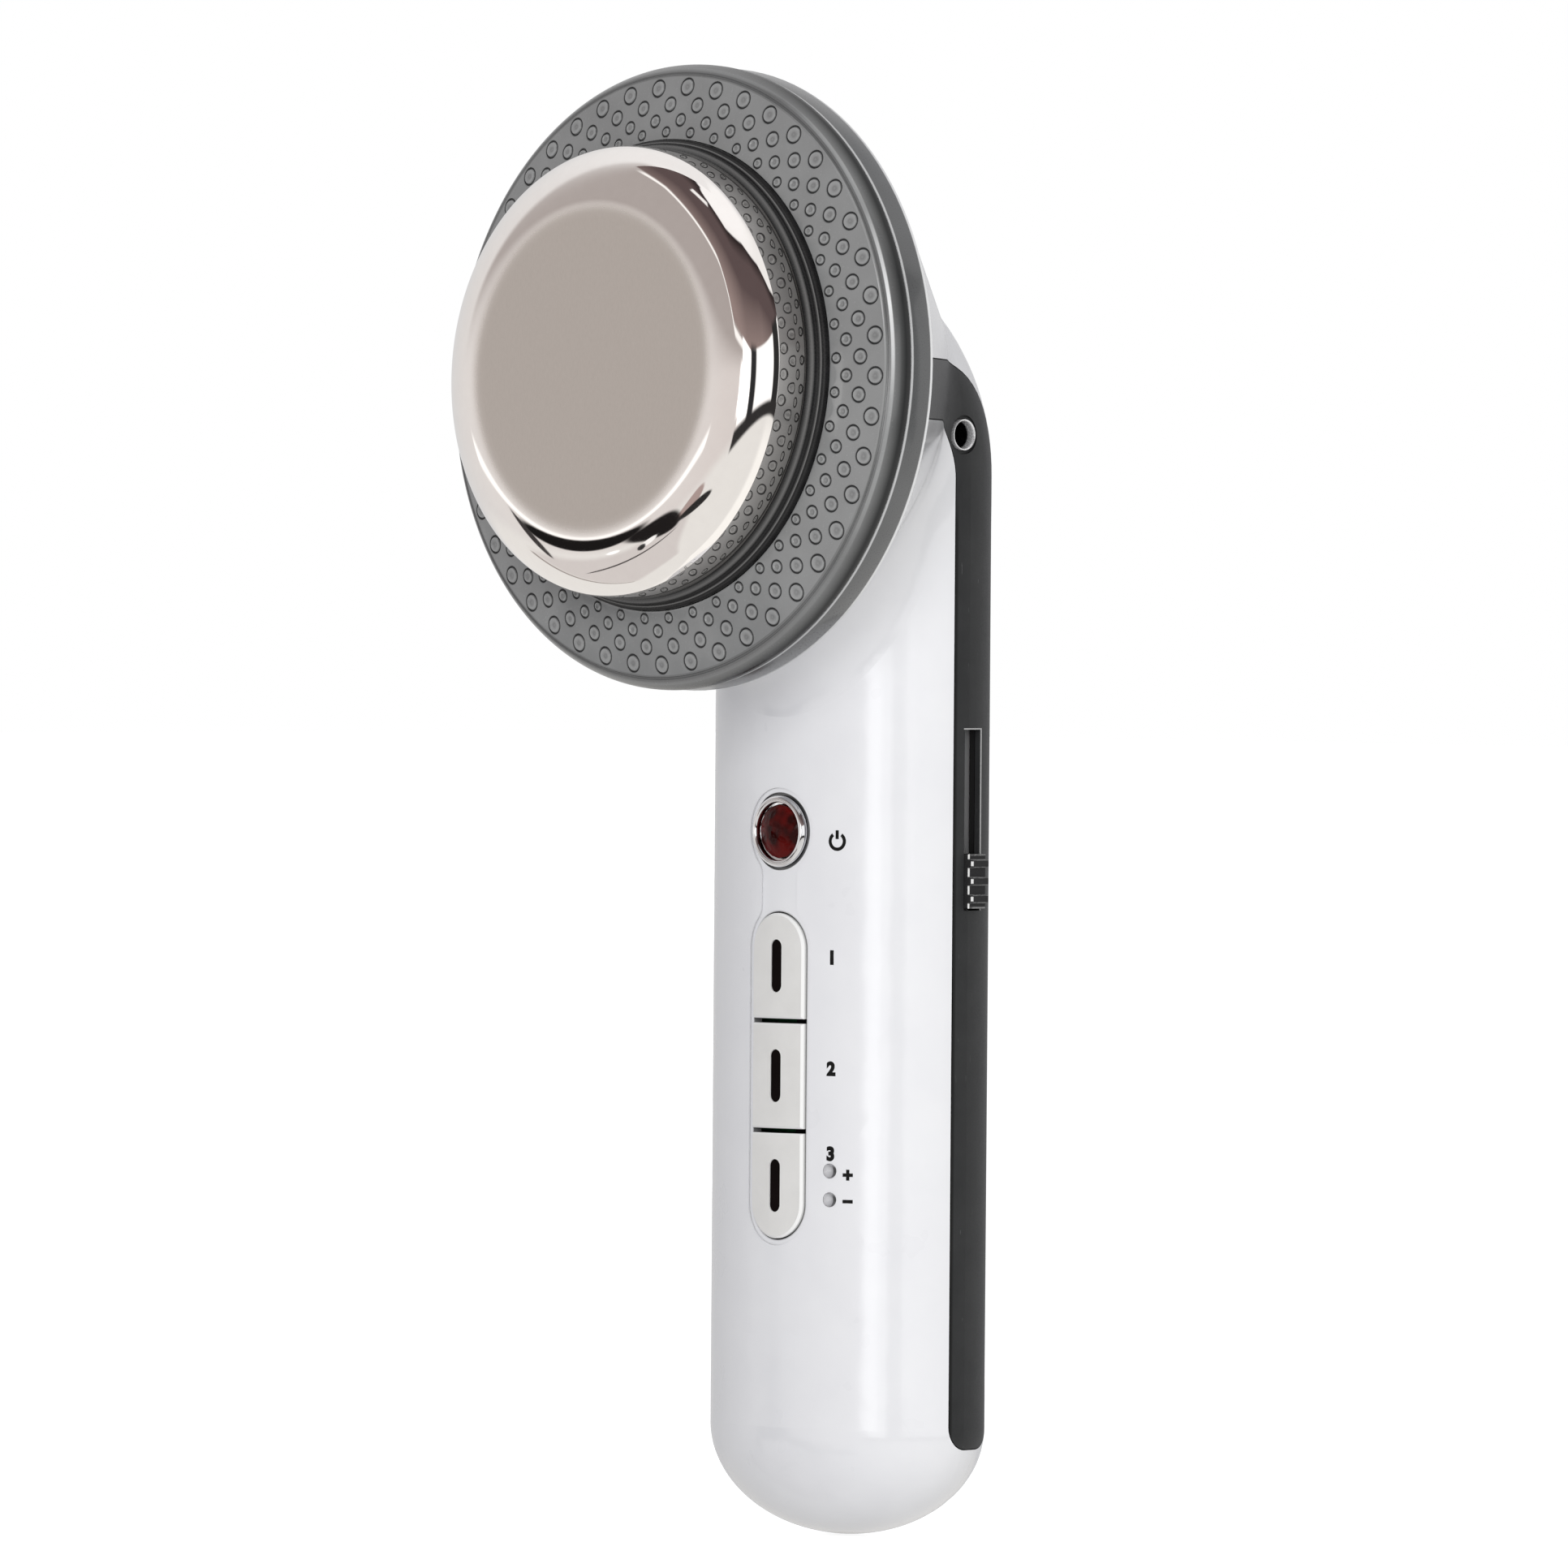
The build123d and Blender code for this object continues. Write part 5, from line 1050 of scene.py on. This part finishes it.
def mirrored_room(sky):
    """What the polished metal and the glossy plastics mirror."""
    above, below, card, oval, height = sky.above, sky.below, sky.card, sky.oval, sky.height
    # Cool grey behind on the left, warm light grey in front
    look = sky.ramp(
        sky.span(sky.azimuth, -180.0, 180.0, 0.0, 1.0),
        [
            (0.0, (0.66, 0.66, 0.68)),
            (0.22, (0.74, 0.735, 0.735)),
            (0.34, (0.80, 0.77, 0.755)),
            (0.46, (0.76, 0.71, 0.69)),
            (0.53, (0.74, 0.69, 0.67)),
            (0.56, (0.95, 0.93, 0.92)),
            (0.9, (0.95, 0.94, 0.93)),
            (1.0, (0.66, 0.66, 0.68)),
        ],
    )
    # The brown roof between the lights, lower to the right, with a light lining under its left edge
    low_stops = [(-180, 88), (-64, 88), (-58, 47), (-35, 43), (-9, 30), (-2, 15.5), (14, 13.5), (28, 11.0)]
    low_stops += [(58, 14), (92, 17.5), (150, 21), (180, 30)]
    high_stops = [(-180, 89), (-120, 84), (-30, 80), (0, 68), (20, 58), (60, 60), (100, 50), (125, 34)]
    high_stops += [(150, 24), (180, 20)]
    roof_low, roof_high = sky.edge_line(low_stops), sky.edge_line(high_stops)
    over = sky.span(height - roof_low, -0.7, 0.9, 0.0, 1.0, smooth=True)
    down = roof_high - height
    roof = over * sky.span(down, -1.0, 1.5, 0.0, 1.0, smooth=True)
    roof_tone = sky.mix(sky.span(down, 2.0, 12.0, 0.0, 1.0), (0.03, 0.022, 0.022), (0.115, 0.083, 0.083))
    roof_tone = sky.mix(sky.span(down, 26.0, 48.0, 0.0, 1.0), roof_tone, (0.32, 0.245, 0.23))
    under = roof_low - height
    lining = sky.span(under, 0.4, 1.2, 0.0, 1.0) * sky.span(under, 2.6, 3.6, 1.0, 0.0)
    open_side = 1.0 - over
    left_top = below(sky.azimuth, -62.0, 14.0) * above(sky.azimuth, -164.0, 14.0) * above(height, 30.0, 25.0)
    layers = [
        # Near white above and below, and a warm shade in front
        (above(height, 58.0, 10.0), (1.05, 1.04, 1.04)),
        (below(height, -14.0, 4.0), (0.86, 0.845, 0.82)),
        (card(95, 200, -120, -22, 12.0), (1.06, 1.045, 1.01)),
        (card(-200, -140, -120, -22, 12.0), (1.06, 1.045, 1.01)),
        (card(-68, -12, -62, -19, 3.0), (0.70, 0.66, 0.645)),
        (card(-70.5, -68.5, -60, -20, 0.7), (0.34, 0.30, 0.28)),
        (card(-66, 14, -60, 55, 4) * above(height, 7.8, 4.0) * 0.85, (0.39, 0.345, 0.33)),
        (left_top, (0.92, 0.91, 0.91)),
        (roof, roof_tone),
        (lining * card(-50, 14, -60, 60, 4.0), (1.1, 1.08, 1.06)),
        (card(-24, -3, 60.5, 65.5, 1.0), (1.0, 0.98, 0.97)),
        # Two bright cards, the dark gap between them for the camera, and the dark line at their feet
        (card(12, 28, -9, 17) * open_side, grey(2.3)),
        (card(9, 20, -5, 6, 3.0), grey(4.2)),
        (card(40, 137, -10, 23) * open_side, grey(1.2)),
        (card(101, 131, -13, 22, 2.0), grey(0.03)),
        (card(28, 41, -13, 13, 2.0), (0.03, 0.03, 0.032)),
        (card(10, 134, -17, -10.5, 1.2), (0.035, 0.033, 0.033)),
        # The dark foot of the stand that the face's lower edge mirrors, and the light specks round it
        (card(-62, -26, -2.4, 0.0, 0.7), (1.25, 1.23, 1.21)),
        (oval(-15.5, -19.5, 6.5, 4.5), (0.44, 0.34, 0.32)),
        (oval(-46, -7.2, 9.0, 4.6), (0.012, 0.011, 0.011)),
        (oval(-29, -16.5, 13.0, 4.4, -40), (0.016, 0.014, 0.014)),
        (oval(-41, -17.0, 1.6, 1.4), grey(1.2)),
        (oval(-31.0, -21.5, 2.6, 2.4), (1.05, 1.04, 1.03)),
        (oval(-33.0, -23.0, 1.3, 2.6, 10), grey(0.02)),
        (oval(-9, -24.5, 12.0, 2.6, -14), (0.03, 0.028, 0.028)),
        (oval(-57, -12.0, 9.0, 1.3, 70), (0.05, 0.045, 0.045)),
        (oval(-38, -30.0, 20.0, 0.8, 8), (0.10, 0.09, 0.09)),
    ]
    for share, tone in layers:
        look = sky.mix(share, look, tone)
    return look


def studio_world():
    """White for the camera, a soft gradient for diffuse light, and the mirrored room for reflections."""
    world = bpy.data.worlds.new("studio")
    bpy.context.scene.world = world
    sky = Sky(world)
    x, y, z = sky.axes
    soft = x * 0.17 + y * -0.20 + z * 0.02 + 0.38
    for turn, lift, strength in ((136, 12, 0.34), (128, 40, 0.08), (84, -56, 0.55), (-155, 15, 0.35)):
        soft = soft + sky.lobe(turn, lift, strength)
    tint = sky.mix(sky.span(x, -0.7, 0.9, 0.0, 1.0), (0.95, 0.955, 1.0), (1.0, 0.995, 0.985))

    rays = sky.add("ShaderNodeLightPath")
    diffuse = sky.add("ShaderNodeBackground", {"Color": tint, "Strength": soft})
    mirrored = sky.add("ShaderNodeBackground", {"Color": mirrored_room(sky)})
    white = sky.add("ShaderNodeBackground", {"Color": grey(1)})
    seen = sky.out(diffuse, 0)
    for ray, background in (("Is Glossy Ray", mirrored), ("Is Camera Ray", white)):
        inputs = {0: sky.out(rays, ray), 1: seen, 2: sky.out(background, 0)}
        seen = sky.out(sky.add("ShaderNodeMixShader", inputs), 0)
    sky.add("ShaderNodeOutputWorld", {"Surface": seen})


def studio_floor():
    """A white floor at height 0 that takes the object's soft shadow."""
    bm = bmesh.new()
    bmesh.ops.create_grid(bm, x_segments=4, y_segments=4, size=7.0)
    mesh = bpy.data.meshes.new("studio_floor")
    bm.to_mesh(mesh)
    bm.free()
    floor = bpy.data.objects.new("studio_floor", mesh)
    floor.location = (0, 0, -0.0002)
    bpy.context.scene.collection.objects.link(floor)
    material = bpy.data.materials.new("studio_floor")
    tree = Tree(material)
    tree.nodes.clear()
    glow = tree.add("ShaderNodeEmission", {"Strength": 0.86})
    matte = tree.add("ShaderNodeBsdfDiffuse", {"Color": grey(0.55)})
    both = tree.add("ShaderNodeAddShader", {0: tree.out(glow, 0), 1: tree.out(matte, 0)})
    tree.add("ShaderNodeOutputMaterial", {"Surface": tree.out(both, 0)})
    mesh.materials.append(material)
    floor.visible_glossy = False
    floor.visible_diffuse = False


def lamp(name, location, target, size, power):
    """A soft square lamp, in metres and watts, that lights but isn't mirrored."""
    light = bpy.data.lights.new(name, "AREA")
    light.shape = "SQUARE"
    light.size = size
    light.energy = power
    holder = bpy.data.objects.new(name, light)
    bpy.context.scene.collection.objects.link(holder)
    holder.location = location
    direction = Vector(target) - Vector(location)
    holder.rotation_mode = "QUATERNION"
    holder.rotation_quaternion = direction.to_track_quat("-Z", "Y")
    holder.visible_glossy = False
    holder.visible_camera = False


def studio_lamps():
    """A soft key from the front right and a faint fill from above."""
    lamp("key", (0.95, -1.15, 0.38), (0, 0.01, 0.10), size=0.7, power=11.2)
    lamp("top", (0.1, -0.2, 1.5), (0, 0, 0.1), size=1.0, power=1.0)


def studio_camera():
    """A long lens from the front right, almost level, as in the photograph."""
    data = bpy.data.cameras.new("camera")
    camera = bpy.data.objects.new("camera", data)
    bpy.context.scene.collection.objects.link(camera)
    bpy.context.scene.camera = camera
    right = Vector((cos(CAMERA_TURN), sin(CAMERA_TURN), 0))
    level = cos(CAMERA_LIFT)
    back = Vector((sin(CAMERA_TURN) * level, -cos(CAMERA_TURN) * level, sin(CAMERA_LIFT)))
    target = (Vector((0, HANDLE_Y, AIM_HEIGHT)) - right * AIM_SHIFT) * MM
    data.sensor_width = SENSOR
    data.lens = SENSOR * CAMERA_DISTANCE / VIEW_WIDTH
    data.clip_start, data.clip_end = 0.1, 50
    camera.location = target + back * CAMERA_DISTANCE
    camera.rotation_mode = "QUATERNION"
    up = Matrix.Rotation(CAMERA_ROLL, 3, back) @ back.cross(right)
    side = up.cross(back)
    camera.rotation_quaternion = Matrix((side, up, back)).transposed().to_quaternion()


# -------- build


make_materials()
finish_of = {row["node"]: row["material_slot"] for row in frame["record"]["subparts"]}
for node_name, node in nodes.items():
    dress(node, materials[finish_of[node_name]])

build_head()
build_lamp()
build_level_lights()
build_socket()
build_marks()
ease_edges(nodes["slider_knob"], 0.12)

studio_world()
studio_floor()
studio_lamps()
studio_camera()
bpy.context.scene.view_settings.view_transform = "Standard"
